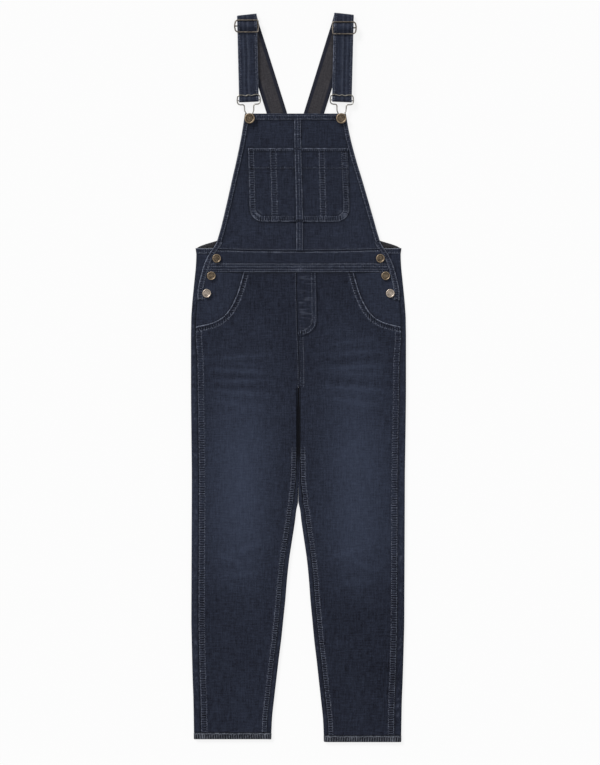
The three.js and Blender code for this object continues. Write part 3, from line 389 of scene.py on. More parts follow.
def groove(distance, width=1.1):
    """A narrow mark beside a line, 1 on it and gone at about twice its width."""
    return math.exp(-(distance / width) ** 2)


def beside(rows, distance):
    """How near a place is to any of the stitched rows, 1 on a row."""
    return min(1.0, sum(groove(distance - row, 1.7) for row in rows))


def between(start, end, depth):
    """1 between two rows, softly gone outside them."""
    return smooth_step(start - 0.6, start + 1.4, depth) * smooth_step(end + 0.6, end - 1.4, depth)


def rails(rows, depth, width=1.1):
    """1 on each of the rows, where the seam's ridge is rubbed light."""
    return min(1.0, sum(groove(depth - row, width) for row in rows))


def rope(along, depth, start, end, pitch=8.5, slant=0.3, seed=0.0):
    """Puckers of a shrunk double row: uneven short ridges across it between two depths, from -1 to 1."""
    band = smooth_step(start - 1.2, start + 1.4, depth) * smooth_step(end + 2.4, end - 1.0, depth)
    if band == 0:
        return 0.0
    wave = 2.0 * drift(along + slant * depth, depth, 0.42 * pitch, 10, seed)
    strength = 0.75 + 0.9 * drift(along, seed + 7.3, 31, 1, 2.5)
    return band * max(-1.0, min(1.0, wave * strength))


def uneven(along, seed):
    """How much an edge is rubbed along its length, about 0.2 to 1.4."""
    return max(0.1, 0.75 + 0.9 * drift(along, seed, 9, 1, 0.2) + 0.7 * drift(along, seed, 2.7, 1, 5.2))


def add_piece(name, data):
    piece = bpy.data.objects.new(name, data)
    bpy.context.collection.objects.link(piece)
    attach(piece, "root")
    return piece


def finish_cloth(name, bm, wall, node_names, inside=None, outside=None):
    """Makes the sheet an object: a shell of its wall's thickness on the body. It works out the size and area
    of its flat pattern, which is what its UV map holds, but does not use them."""
    uv = bm.loops.layers.uv["cloth"]
    across, along, area = [], [], 0.0
    for face in bm.faces:
        corners = [loop[uv].uv for loop in face.loops]
        across.extend(corner.x for corner in corners)
        along.extend(corner.y for corner in corners)
        area += abs(sum(a.x * b.y - b.x * a.y for a, b in zip(corners, corners[1:] + corners[:1]))) / 2
    mesh = bpy.data.meshes.new(name)
    bm.normal_update()
    bm.to_mesh(mesh)
    bm.free()
    mesh.shade_smooth()
    mesh.materials.append(outside or denim)
    mesh.materials.append(inside or reverse)
    piece = add_piece(name, mesh)
    shell = piece.modifiers.new("wall", "SOLIDIFY")
    shell.thickness = wall / 1000
    shell.offset = -1
    shell.material_offset = 1
    shell.material_offset_rim = 0
    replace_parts(piece, *node_names)


def grid_of(columns, rows):
    """A flat grid with its UV map, the layers of its marks and its points. Bars are the fine ridges of a
    shrunk seam: above zero they lie across the garment, below it along."""
    bm = bmesh.new()
    bmesh.ops.create_grid(bm, x_segments=columns - 1, y_segments=rows - 1, size=1)
    uv = bm.loops.layers.uv.new("cloth")
    layers = [bm.verts.layers.float.new(name) for name in MARKS]
    points = {}
    for vert in bm.verts:
        column = round((vert.co.x + 1) / 2 * (columns - 1))
        row = round((vert.co.y + 1) / 2 * (rows - 1))
        points[column, row] = vert
    return bm, uv, layers, points


def mark(vert, layers, values):
    """Writes the first of the marks, in their order; the rest stay 0."""
    for layer, value in zip(layers, values):
        vert[layer] = value


def lay_pattern(bm, uv, flat, turned=False):
    """Writes the flat pattern to the UV map, and turns the faces of a sheet that runs the other way."""
    for face in bm.faces:
        for loop in face.loops:
            loop[uv].uv = flat[loop.vert]
    if turned:
        bmesh.ops.reverse_faces(bm, faces=bm.faces)


def steps_between(first, last, step):
    count = max(1, round(abs(last - first) / step))
    return [first + (last - first) * i / count for i in range(count + 1)]


FINE = 1.0
FOLD_STEPS, FLAT_STEPS, FAR_FROM_SEAM = 6, 14, 30
LEG_TOUCH = 0.5
CENTRE_LAP, LAP_LEVEL = 3.2, 1.9


def fold_round(centre, radius, first_angle):
    """The half round at a fold: points from the given angle, half a turn on."""
    points = []
    for step in range(FOLD_STEPS + 1):
        angle = math.radians(first_angle + 180 * step / FOLD_STEPS)
        points.append((centre + radius * math.cos(angle), radius + radius * math.sin(angle), FAR_FROM_SEAM))
    return points


def back_section(y, sign):
    """The back panel across the leg: inseam wrap, inner fold, underside, side fold, outseam wrap.
    Each point has its place and the distance in from the seam that it lies nearest to."""
    outer, level = side_fold(y), read(SIDE_FOLD, y, "level")
    radius = level / 2
    points = []
    if y <= CROTCH:
        inner = inner_fold(y)
        wrap = read(INNER_FOLD, y, "wrap")
        inner -= LEG_TOUCH * smooth_step(0.9, 0.6, inner)
        for step in (0.0, 0.3, 0.65):
            points.append((inner + wrap + (radius - wrap) * step, level, step * (wrap - radius)))
        points += fold_round(inner + radius, radius, 90)
        start = inner + radius
    else:
        start = 0.35
        lap, lap_level = (CENTRE_LAP, LAP_LEVEL) if sign > 0 else (0.0, WALL)
        tuck = 3 + FOLD_STEPS
        for step in range(tuck + 1):
            rise = 1 - step / tuck
            over = max(0.0, rise - 0.5) * 2
            points.append((start - lap * over, lap_level * min(1.0, rise * 2), FAR_FROM_SEAM))
    span = outer - radius - start
    points += [(start + span * step / FLAT_STEPS, 0.0, FAR_FROM_SEAM) for step in range(1, FLAT_STEPS)]
    points += fold_round(outer - radius, radius, -90)
    run = read(SIDE_FOLD, y, "wrap") - radius
    for step in (0.2, 0.4, 0.6, 0.8, 1.0):
        points.append((outer - radius - run * step, level, run * (1 - step)))
    return points


for label, sign in SIDES:
    rows = (steps_between(HEM_END + HEM_DEPTH + GAP, CROTCH, 4.0 * FINE)
            + steps_between(CROTCH + 1.5, BACK_WAIST, 4.0 * FINE))
    sections = [back_section(y, sign) for y in rows]
    bm, uv, layers, points = grid_of(len(sections[0]), len(rows))
    flat = {}
    for j, (y, section) in enumerate(zip(rows, sections)):
        travelled = 0.0
        for i, (x, z, depth) in enumerate(section):
            if i:
                travelled += math.hypot(x - section[i - 1][0], z - section[i - 1][1])
            under = smooth_step(0.8, 0.0, z) * smooth_step(8, 30, x) * smooth_step(6, 26, side_fold(y) - x)
            lift = under * max(0.0, spots(BACK_CREASES, sign * x, y)) * smooth_step(BACK_WAIST, 200, y)
            pucker = rope(y, depth, 0.4, 8.5, pitch=9.5, slant=-0.9, seed=sign * 3.0) if depth < 14 else 0.0
            vert = points[i, j]
            vert.co = lie(sign * x, y, z + lift + 0.2 * pucker)
            # Painted shade: darker close to where each wrap meets the front, and low on the folds as they
            # turn under to the floor. The puckers' light and dark are real rubbing.
            worn = 0.2 * pucker - 0.55 * math.exp(-depth / 2.2) - 0.3 * smooth_step(2.0, 0.6, z)
            # Painted shadow in the narrow slot between the legs below the crotch.
            slot = 1.2 + 3.4 * smooth_step(-30, -110, y)
            in_slot = smooth_step(slot + 1.4, slot, x) * smooth_step(-176, -142, y)
            worn -= 0.85 * in_slot * smooth_step(0.4, 1.6, z)
            # Painted light: the fade is a little higher, so the denim lighter, where the folds and wraps
            # stand high.
            mark(vert, layers, (fade_at(sign * x, y) + 0.1 * smooth_step(0.5, 2.0, z), worn))
            flat[vert] = (sign * travelled / 1000, y / 1000)
    lay_pattern(bm, uv, flat, turned=sign > 0)
    finish_cloth(f"denim_back_{label}", bm, WALL, [f"back_panel_{label}"])


# Back bib: the raised upper back behind the front bib, one layer of the same denim that the straps
# start from, seen only past the bib's edges and from behind. Its inside, brown-grey, faces up.
BACK_BIB = table(
    "y half",
    (252.3, 198.5), (257, 190), (261, 178), (266, 161), (275, 139), (290, 113), (320, 85), (360, 63),
    (410, 49), (468.3, 43),
)


def laid(rows, low_edge, high_edge, surface, columns, look, strip=False):
    """A panel between two edge lines, at surface(x, y) above the floor, with look(x, y) the values
    of its marks. The pattern is the panel itself laid out, and a strip's is made straight."""
    bm, uv, layers, points = grid_of(columns, len(rows))
    flat = {}
    for j, y in enumerate(rows):
        low, high = low_edge(y), high_edge(y)
        for i in range(columns):
            x = low + (high - low) * i / (columns - 1)
            vert = points[i, j]
            vert.co = lie(x, y, surface(x, y))
            mark(vert, layers, look(x, y))
            flat[vert] = ((x - low if strip else x) / 1000, y / 1000)
    lay_pattern(bm, uv, flat)
    return bm


def back_bib_height(x, y):
    return WALL + max(0.0, 0.35 * drift(x, y, 45, 60, 4.0))


def both_edges(half):
    """A panel's two edge lines, where it reaches as far to the left as to the right."""
    return (lambda y: -half(y)), half


bm = laid(steps_between(BACK_WAIST + GAP, BACK_BIB_TOP, 4 * FINE),
          *both_edges(lambda y: read(BACK_BIB, y, "half")), back_bib_height, 40, lambda x, y: (0.2,))
finish_cloth("denim_back_bib", bm, WALL, ["back_bib"], inside=denim, outside=reverse)


# Hip pocket facings: one layer of denim under each pocket opening, the part of the pocket's back that
# shows. It lies under the front panel's curved edge, runs out to the side opening's edge and carries
# the lower side buttons.
FRONT_EDGE = table(
    "y half",
    (150.2, 196.7), (164, 196.6), (181, 194.4), (196, 190.7), (215, 185.6), (230, 179.8), (244, 172.2),
    (255.5, 163.8), (264, 159.4), (272, 156.8), (288, 152.0), (307, 147.0), (346, 136.8), (385, 126.8),
    (424, 116.4), (463, 107.3), (483, 103.4), (514.2, 98.3),
)
POCKET_OPENING = table(
    "y x",
    (99.0, 199.7), (103.4, 179.8), (108.4, 163.4), (117.2, 148.2), (131.2, 135.5), (149.0, 125.4),
    (167.9, 117.8), (189.5, 111.3), (204.7, 107.2),
)
EDGE_FOOT, EDGE_HEAD = POCKET_OPENING[0]["y"], POCKET_OPENING[-1]["y"]


def front_half(y):
    return read(FRONT_EDGE, y, "half")


def side_seam(y):
    return side_fold(y) - read(SIDE_FOLD, y, "wrap") - GAP


def facing_outer(y):
    if y >= OPENING_FOOT:
        return front_half(y)
    return side_seam(y) - 16 * smooth_step(98, 94, y)


def facing_inner(y):
    return min(read(POCKET_OPENING, y + 10, "x") - 14, facing_outer(y) - 44)


def facing_height(x, y):
    return FACING_LEVEL + 0.25 * drift(x, y, 22, 30, 9.0)


def opening_side(x, y):
    """How far out past the pocket opening's edge a point of the facing lies."""
    return abs(x) - read(POCKET_OPENING, y, "x")


def mirrored(sign, inner, outer):
    """The edge lines of a piece that lies on one side, lower x first."""
    if sign > 0:
        return inner, outer
    return (lambda y: -outer(y)), (lambda y: -inner(y))


for label, sign in SIDES:
    # Painted shadow: the facing is darker just out from the pocket opening's edge, under the front panel's
    # lip.
    bm = laid(steps_between(88, FELL_FOOT - GAP, 3 * FINE), *mirrored(sign, facing_inner, facing_outer),
              facing_height, 26, lambda x, y: (0.2, -0.6 * math.exp(-max(0.0, opening_side(x, y)) / 3.0)))
    finish_cloth(f"denim_facing_{label}", bm, WALL, [f"pocket_facing_{label}"])


# Front panels: one for each leg, cut away at the hip pocket and sewn down the outseam and inseam with
# double rows that have shrunk and roped. The legs have soft creases that lie mostly across them.
CENTRE_FRONT = table("y x", (-20, 1.2), (20, 1.2), (63, -0.2), (112, -2.1), (205, -4.1))
LEG_FOLDS = table(
    "side x y long wide turn rise",
    (-1, 116, 38, 46, 9, -6, 0.5), (-1, 112, 14, 50, 8, 4, -0.5), (-1, 118, -8, 48, 8, 0, 0.5),
    (-1, 120, -36, 52, 10, 8, 0.4), (1, 100, 52, 44, 9, 8, 0.5), (1, 104, 24, 52, 8, 2, 0.6),
    (1, 110, -14, 50, 9, -4, 0.5), (1, 112, -42, 46, 10, -8, 0.4), (-1, 108, -170, 70, 26, 62, 0.5),
    (-1, 150, -330, 62, 20, 30, -0.6), (-1, 96, -372, 58, 18, -24, 0.5), (-1, 132, -560, 80, 24, 74, -0.5),
    (1, 122, -190, 76, 24, -66, 0.5), (1, 92, -338, 60, 20, 26, -0.6), (1, 140, -392, 56, 18, -20, 0.5),
    (1, 104, -548, 84, 26, -78, -0.5),
)
FINE_CREASES = table(
    "side x y long wide turn rise",
    (-1, 60, 92, 30, 5, 24, 0.3), (-1, 148, 60, 26, 5, -28, 0.35), (-1, 70, 60, 34, 4, 14, -0.3),
    (-1, 40, 28, 22, 5, 42, 0.35), (-1, 150, 18, 24, 4, -12, 0.3), (-1, 52, -14, 26, 5, 30, 0.35),
    (-1, 160, -20, 24, 5, 10, -0.3), (-1, 60, -60, 30, 6, 26, 0.3), (-1, 140, -78, 30, 6, -18, 0.3),
    (-1, 84, -112, 36, 7, 38, 0.3), (-1, 150, -150, 26, 6, -42, -0.3), (-1, 76, -240, 30, 7, 20, 0.3),
    (-1, 150, -270, 24, 6, -20, 0.3), (-1, 116, -300, 36, 7, 12, 0.35), (-1, 100, -352, 40, 6, -18, -0.3),
    (-1, 158, -366, 26, 6, 26, 0.35), (-1, 124, -410, 38, 8, 10, 0.3), (-1, 90, -470, 30, 8, -30, 0.25),
    (-1, 150, -500, 26, 8, 34, 0.25), (-1, 96, -616, 26, 7, 22, 0.3), (-1, 150, -650, 28, 7, -20, 0.3),
    (1, 56, 86, 28, 5, 22, 0.3), (1, 150, 66, 30, 5, -22, 0.35), (1, 72, 42, 32, 4, 10, -0.3),
    (1, 42, 18, 24, 5, 38, 0.3), (1, 158, 6, 24, 4, -14, 0.3), (1, 58, -30, 28, 5, 26, 0.35),
    (1, 152, -44, 28, 5, 12, -0.3), (1, 66, -84, 30, 6, 32, 0.3), (1, 146, -104, 28, 6, -24, 0.3),
    (1, 92, -146, 34, 7, 44, 0.3), (1, 148, -214, 26, 6, -36, -0.3), (1, 84, -262, 32, 7, 16, 0.3),
    (1, 150, -300, 24, 6, -16, 0.3), (1, 112, -322, 38, 7, 10, 0.35), (1, 130, -356, 40, 6, -20, -0.3),
    (1, 84, -384, 28, 6, 24, 0.3), (1, 122, -430, 36, 8, -12, 0.3), (1, 152, -486, 26, 8, 32, 0.25),
    (1, 88, -520, 28, 8, -24, 0.25), (1, 146, -622, 28, 7, 20, 0.3), (1, 96, -660, 26, 7, -22, 0.3),
)
FLY_REACH, FLY_FOOT, FLY_CURVE = 39.0, 80.0, 34.0
FLY_ROWS = (3.2, 9.8)
OUTSEAM_ROWS = (1.4, 11.4)
INSEAM_ROWS = (0.8, 8.4)
OPENING_ROWS = (1.6, 9.8)
CENTRE_ROWS = (-2.0, 2.6, 9.2)
INSEAM_TOP, OUTSEAM_TOP = -128.0, 99


def centre_front(y):
    return read(CENTRE_FRONT, y, "x")


def fly_reach(y):
    rise = min(1.0, max(0.03, (y - FLY_FOOT) / FLY_CURVE))
    return FLY_REACH * math.sqrt(1 - (1 - rise) ** 2)


def from_fly_edge(x, y):
    """Distance in from the fly's curved free edge."""
    reach = x - centre_front(y)
    if y > FLY_FOOT + FLY_CURVE:
        return FLY_REACH - reach
    return (1 - math.hypot(reach / FLY_REACH, (FLY_FOOT + FLY_CURVE - y) / FLY_CURVE)) * FLY_CURVE


def from_opening(x, y):
    """Distance from a point of the front to its pocket opening's edge."""
    reach = abs(x)
    near = 99.0
    for first, second in zip(POCKET_OPENING, POCKET_OPENING[1:]):
        span = (second["x"] - first["x"], second["y"] - first["y"])
        t = ((reach - first["x"]) * span[0] + (y - first["y"]) * span[1]) / (span[0] ** 2 + span[1] ** 2)
        t = min(1.0, max(0.0, t))
        near = min(near, math.hypot(reach - first["x"] - t * span[0], y - first["y"] - t * span[1]))
    return near


def leg_level(x, y):
    """The trouser front's level, with its soft folds fading out toward the seams."""
    level = LEG_LEVEL + (HIP_LEVEL - LEG_LEVEL) * smooth_step(-20, 40, y)
    outer = side_fold(min(y, 140)) - 14
    inner = inner_fold(y) + 10 if y < CROTCH else 6
    reach = abs(x)
    inside = (smooth_step(0, 34, outer - reach) * smooth_step(0, 30, reach - inner)
              * smooth_step(84, 66, y) * smooth_step(-690, -640, y))
    ridge = (0.5 * math.exp(-((outer - 6 - reach) / 4) ** 2) * smooth_step(60, 20, y)
             + 0.4 * math.exp(-((reach - inner - 6) / 4) ** 2) * smooth_step(-60, -110, y))
    return level + inside * spots(LEG_FOLDS, x, y) + ridge * smooth_step(-694, -690, y)


def front_detail(x, y):
    """Lift and marks of the front: roped double rows at its seams, and finer creases between. Its marks carry
    painted shade beside the rows, below the waist fell, beside the mock fly and along the centre seam.
    """
    reach = abs(x)
    side = 1 if x > 0 else -1
    lift, wear_and_shade, sewn, bars = 0.0, 0.0, 0.0, 0.0
    outer = side_seam(y) - reach
    if y < OUTSEAM_TOP and outer < 18:
        pucker = rope(y, outer, *OUTSEAM_ROWS, pitch=9.0, slant=-0.8, seed=side * 1.3)
        lift += 0.42 * pucker - 0.4 * sum(groove(outer - row) for row in OUTSEAM_ROWS)
        # Painted shade: a dark line just inside the outseam's inner row.
        wear_and_shade += 0.06 * pucker - 0.1 * groove(outer - OUTSEAM_ROWS[1] - 3.0, 1.6)
        wear_and_shade += 0.22 * rails(OUTSEAM_ROWS, outer)
        sewn = beside(OUTSEAM_ROWS, outer)
        bars = (0.6 - 0.35 * smooth_step(-180, -20, y)) * between(*OUTSEAM_ROWS, outer)
        wear_and_shade += 0.12 * uneven(y, side) * smooth_step(1.6, 0.2, outer)
    if y < INSEAM_TOP:
        inner = reach - inner_fold(y) - read(INNER_FOLD, y, "wrap") - GAP
        if inner < 15:
            shown = smooth_step(INSEAM_TOP, INSEAM_TOP - 28, y)
            pucker = rope(y, inner, *INSEAM_ROWS, pitch=8.0, slant=0.8, seed=side * 4.1)
            lift += shown * (0.34 * pucker - 0.35 * sum(groove(inner - row) for row in INSEAM_ROWS))
            wear_and_shade += shown * (0.06 * pucker + 0.26 * rails(INSEAM_ROWS, inner))
            sewn += shown * beside(INSEAM_ROWS, inner)
            bars += 0.75 * shown * between(*INSEAM_ROWS, inner)
    if 84 < y:
        near = from_opening(x, y)
        if near < 18:
            pucker = rope(reach * 0.7 - y * 0.7, near, 1.6, 10, pitch=9.5, slant=0.6, seed=side * 2.2)
            lift += 0.3 * pucker - 0.4 * groove(near - OPENING_ROWS[1])
            sewn += beside(OPENING_ROWS, near)
            bars = (0.6 if y > 128 else -0.6) * between(3.4, OPENING_ROWS[1], near)
            edge = 0.95 * uneven(y - reach, side) * smooth_step(2.6, 0.6, near)
            # Painted shade: a dark line between the opening's two rows.
            wear_and_shade += 0.16 * pucker + edge - 0.25 * groove(near - 4.2, 1.6)
            wear_and_shade += 0.3 * rails(OPENING_ROWS[1:], near)
        # Painted shadow below the foot of the waist fell, and on the right front beside the mock fly's edge.
        wear_and_shade -= 0.55 * math.exp(-max(0.0, FELL_FOOT - y) / 2.6)
        if x > 0:
            wear_and_shade -= 0.25 * groove(max(0.0, -from_fly_edge(x, y)), 2.4) * (from_fly_edge(x, y) < 0)
    if y > CROTCH:
        from_seam = x - centre_front(y)
        # Painted shade along the centre seam, between the two fronts.
        wear_and_shade -= 0.3 * groove(from_seam, 1.3)
        sewn += beside(CENTRE_ROWS[:1] if y > FLY_FOOT else CENTRE_ROWS, from_seam)
        bars += 0.3 * between(*CENTRE_ROWS[1:], from_seam) * smooth_step(80, 70, y)
    calm = smooth_step(12, 24, outer) if y < OUTSEAM_TOP else 1.0
    crease = spots(FINE_CREASES, x, y)
    lift += calm * smooth_step(4, 22, reach) * (crease + 0.3 * drift(x, y, 38, 46, 2.0)
                                                + 0.16 * drift(x, y, 11, 13, 5.0))
    return lift, (fade_at(x, y) + 0.25 * calm * max(0.0, crease), wear_and_shade, sewn, bars)


def front_height(x, y):
    return leg_level(x, y) + front_detail(x, y)[0]


FRONT_COLUMNS = 64
ROW_TILT = 22.0
for label, sign in SIDES:
    ends = []
    for y in steps_between(EDGE_HEAD, EDGE_FOOT, 2.6 * FINE):
        reached = (EDGE_HEAD - y) / (EDGE_HEAD - EDGE_FOOT)
        ends.append((read(POCKET_OPENING, y, "x"), y, FELL_FOOT - GAP - (FELL_FOOT - 76) * reached ** 0.8))
    for y in steps_between(EDGE_FOOT - 2, HEM_END + HEM_DEPTH + GAP, 2.4 * FINE):
        ends.append((side_seam(y), y, y - ROW_TILT * smooth_step(-30, 99, y)))
    bm, uv, layers, points = grid_of(FRONT_COLUMNS, len(ends))
    flat = {}
    for j, (outer_x, outer_y, centre_y) in enumerate(ends):
        if centre_y > CROTCH:
            centre_x = centre_front(centre_y) + sign * GAP / 2
        else:
            centre_x = sign * (inseam(centre_y) + GAP)
        for i in range(FRONT_COLUMNS):
            share = i / (FRONT_COLUMNS - 1)
            share = share - 0.05 * math.sin(2 * math.pi * share)
            x = centre_x + (sign * outer_x - centre_x) * share
            y = centre_y + (outer_y - centre_y) * share
            lift, values = front_detail(x, y)
            vert = points[i, j]
            vert.co = lie(x, y, leg_level(x, y) + lift)
            mark(vert, layers, values)
            flat[vert] = (x / 1000, y / 1000)
    lay_pattern(bm, uv, flat, turned=sign > 0)
    finish_cloth(f"denim_front_{label}", bm, WALL, [f"front_panel_{label}"])


# Topstitching of the fronts: double rows down outseam and inseam and round the pocket opening, and
# the rows beside the centre seam. The thread is a dull grey-blue, a little lighter than the cloth.
STITCH_PITCH, STITCH_LENGTH, THREAD = 3.9, 2.6, 0.38
STITCH_SHAPE = ((0, -0.3, 0.5), (0.5, 0.2, 1), (1, -0.3, 0.5))
thread, tree, thread_shader = new_material("grey_blue_thread")
thread_tone = noise_of(tree, put(tree, "ShaderNodeTexCoord").outputs["Object"], 90.0)
thread_colour = blend(tree, thread_tone, srgb(62, 68, 84), srgb(132, 138, 154))
tree.links.new(thread_colour, thread_shader.inputs["Base Color"])
thread_shader.inputs["Roughness"].default_value = 0.62
thread_shader.inputs["Specular IOR Level"].default_value = 0.3


def round_curve(name, radius, sides, finish):
    curve = bpy.data.curves.new(name, "CURVE")
    curve.dimensions = "3D"
    curve.bevel_depth = radius / 1000
    curve.bevel_resolution = sides
    curve.use_fill_caps = True
    curve.materials.append(finish)
    return curve


def topstitch(name, lines, height, pitch=STITCH_PITCH):
    """Stitches along lines of pattern points: each a short raised thread with its ends in the cloth."""
    curve = round_curve(name, THREAD, 0, thread)
    length = STITCH_LENGTH * pitch / STITCH_PITCH
    for line in lines:
        reached = [0.0]
        for a, b in zip(line, line[1:]):
            reached.append(reached[-1] + math.hypot(b[0] - a[0], b[1] - a[1]))

        def along(distance):
            piece = next((i for i in range(len(line) - 2) if reached[i + 1] > distance), len(line) - 2)
            share = (distance - reached[piece]) / max(0.001, reached[piece + 1] - reached[piece])
            return tuple(p + (q - p) * share for p, q in zip(line[piece], line[piece + 1]))

        for number in range(int(reached[-1] / pitch)):
            spline = curve.splines.new("POLY")
            spline.points.add(len(STITCH_SHAPE) - 1)
            for point, (share, rise, thick) in zip(spline.points, STITCH_SHAPE):
                x, y = along(number * pitch + share * length)
                point.co = (*lie(x, y, height(x, y) + rise), 1)
                point.radius = thick
    add_piece(name, curve)


def rows_down(x_of, first, last):
    return [(x_of(y), y) for y in steps_between(first, last, 5.0)]


def row_across(first, last, y, step=6):
    return [(x, y) for x in steps_between(first, last, step)]


def beside_opening(distance, sign):
    line = []
    for y in steps_between(EDGE_FOOT, EDGE_HEAD, 3):
        slope = (read(POCKET_OPENING, y + 1, "x") - read(POCKET_OPENING, y - 1, "x")) / 2
        size = math.hypot(1, slope)
        x = read(POCKET_OPENING, y, "x") - distance / size
        line.append((sign * x, y + distance * slope / size))
    return line


for label, sign in SIDES:
    lines = [rows_down(lambda y: sign * (side_seam(y) - inset), 88, HEM_END + HEM_DEPTH)
             for inset in OUTSEAM_ROWS]
    lines += [rows_down(lambda y: sign * (inseam(y) + GAP + inset), INSEAM_TOP - 8, HEM_END + HEM_DEPTH)
              for inset in INSEAM_ROWS]
    lines += [beside_opening(inset, sign) for inset in OPENING_ROWS]
    aside, row_top = (CENTRE_ROWS[0], FELL_FOOT - 1) if sign < 0 else (CENTRE_ROWS[2], FLY_FOOT - 1)
    lines.append(rows_down(lambda y: centre_front(y) + aside, row_top, CROTCH))
    topstitch(f"stitches_front_{label}", lines, front_height)


# Mock fly: a thin piece of denim on the right front beside the centre seam, rippled across, and held
# by a double row of stitching that turns in at its foot as a J.
def fly_detail(x, y):
    near = from_fly_edge(x, y)
    turned = math.atan2(FLY_FOOT + FLY_CURVE - y, max(1.0, x)) * 30 if y < FLY_FOOT + FLY_CURVE else -y
    pucker = rope(turned, near, *FLY_ROWS, pitch=8.5, slant=0.7, seed=6.0)
    lift = 0.26 * pucker - 0.45 * smooth_step(1.4, 0.0, near)
    lift -= 0.25 * sum(math.exp(-((near - row) / 0.8) ** 2) for row in FLY_ROWS)
    # Painted shadow below the foot of the waist fell, and painted shade along the centre seam.
    wear_and_shade = 0.3 * pucker * smooth_step(150, 100, y) - 0.5 * math.exp(-max(0.0, FELL_FOOT - y) / 2.6)
    wear_and_shade -= 0.3 * groove(x - centre_front(y), 1.3)
    ripple = drift(x, y, 26, 4.5, 40.0) + 0.6 * drift(x, y, 12, 2.8, 41.0)
    across = smooth_step(2, 8, near) * smooth_step(0, 6, x - centre_front(y))
    lift += 0.3 * ripple * across
    bars = (0.16 if y > FLY_FOOT + 14 else -0.6) * between(*FLY_ROWS, near)
    # The ripples are lighter where they rise and darker where they sink.
    wear_and_shade = wear_and_shade + 0.24 * ripple * across + 0.12 * rails(FLY_ROWS, near)
    return lift, (fade_at(x, y), wear_and_shade, beside(FLY_ROWS, near), bars)


def fly_height(x, y):
    return leg_level(x, y) + GAP + TRIM + fly_detail(x, y)[0]


bm = laid(steps_between(FLY_FOOT, FELL_FOOT - GAP, 1.8 * FINE),
          lambda y: centre_front(y) + GAP / 2,
          lambda y: centre_front(y) + GAP / 2 + fly_reach(y),
          fly_height, 26, lambda x, y: fly_detail(x, y)[1])
finish_cloth("denim_mock_fly", bm, TRIM, ["mock_fly"])


def fly_row(inset):
    line = [(centre_front(y) + FLY_REACH - inset, y)
            for y in steps_between(FELL_FOOT - 1, FLY_FOOT + FLY_CURVE, 5)]
    for degrees in range(10, 86, 10):
        angle = math.radians(degrees)
        y = FLY_FOOT + FLY_CURVE - (FLY_CURVE - inset) * math.sin(angle)
        line.append((centre_front(y) + (FLY_REACH - inset) * math.cos(angle), y))
    return line


topstitch("stitches_mock_fly", [fly_row(inset) for inset in FLY_ROWS], fly_height)


# Waistband and the felled strip below it: two bands right across the front, each as wide as the side
# openings leave it. Three close rows hold the fell, and its middle is rubbed lighter.
WAIST_SIDE_LEVEL, BIB_LEVEL = 4.6, 3.8


def upper_level(x, y):
    middle = HIP_LEVEL + (BIB_LEVEL - HIP_LEVEL) * smooth_step(250, 335, y)
    sides = WAIST_SIDE_LEVEL + (BIB_LEVEL - WAIST_SIDE_LEVEL) * smooth_step(250, 335, y)
    return middle + (sides - middle) * smooth_step(118, 162, abs(x))


BAND_ROWS = {FELL_TOP + GAP: (222.4, 246.6), FELL_FOOT: (206.6, 210.6, 216.2)}


def band_detail(x, y, foot, top):
    inset = min(y - foot, top - y)
    pucker = sum(rope(x, y - row, -2.5, 1.5, pitch=8.0, seed=row) for row in BAND_ROWS[foot])
    lift = 0.3 * pucker - 0.35 * smooth_step(1.2, 0.0, inset)
    rubbed = math.exp(-((x - 2) / 9) ** 2 - ((y - 212) / 6) ** 2)
    # Painted shade: a dark line just above each row.
    rows = sum(groove(y - row - 1.5, 1.2) for row in BAND_ROWS[foot])
    wear_and_shade = 0.14 * pucker + 0.4 * uneven(x, foot) * smooth_step(1.4, 0.2, inset) + 0.35 * rubbed - 0.12 * rows
    wear_and_shade += 0.3 * rails(BAND_ROWS[foot], y)
    return lift, (fade_at(x, 150) + 0.12, wear_and_shade - 0.1 * smooth_step(0, 6, inset), beside(BAND_ROWS[foot], y),
                  -0.55 * max(groove(y - row - 1.4, 1.5) for row in BAND_ROWS[foot]))


for name, node, foot, top, raised, wall in (
        ("denim_waistband", "waistband", FELL_TOP + GAP, WAIST_SEAM - GAP, 0.0, WALL),
        ("denim_waist_fell", "waist_fell", FELL_FOOT, FELL_TOP, 0.5, WALL + 0.5)):
    def band_height(x, y):
        return upper_level(x, y) + raised + band_detail(x, y, foot, top)[0]

    bm = laid(steps_between(foot, top, 1.5 * FINE), *both_edges(front_half), band_height, round(140 / FINE),
              lambda x, y: band_detail(x, y, foot, top)[1])
    finish_cloth(name, bm, wall, [node])
    topstitch(f"stitches_{node}", [row_across(-front_half(y) + 11, front_half(y) - 11, y)
                                   for y in BAND_ROWS[foot]], band_height)


# Bib: two halves of one layer of denim, joined by a felled centre seam and sewn to the waistband. The
# body is calm, with slight ripples beside the hems and above the waist.
BIB_SEAM = table("y x", (247, 2.1), (514.2, 4.5))
BIB_HEM, BIB_SIDE_HEM, PLACKET_HEM, BIB_FELL = 12.0, 9.2, 9.8, 13.4
WAIST_ROW = 251.6
BIB_CREASES = table(
    "side x y long wide turn rise",
    (-1, 60, 284, 40, 5, 12, 0.35), (-1, 112, 300, 26, 5, -24, 0.3), (-1, 128, 268, 24, 5, -34, 0.4),
    (-1, 100, 262, 34, 5, 6, 0.3), (-1, 40, 262, 26, 4, -10, 0.3), (-1, 118, 352, 16, 6, -60, 0.35),
    (1, 66, 280, 38, 5, -8, 0.35), (1, 116, 296, 26, 5, 28, 0.3), (1, 130, 264, 24, 5, 36, 0.4),
    (1, 96, 258, 30, 5, -6, 0.3), (1, 36, 270, 28, 4, 12, 0.3), (1, 112, 366, 16, 6, 58, 0.35),
)
POCKET_HALF, POCKET_FOOT, POCKET_TOP, POCKET_CORNER, POCKET_HEM = 97.2, 303.2, 446.6, 27.0, 39.0


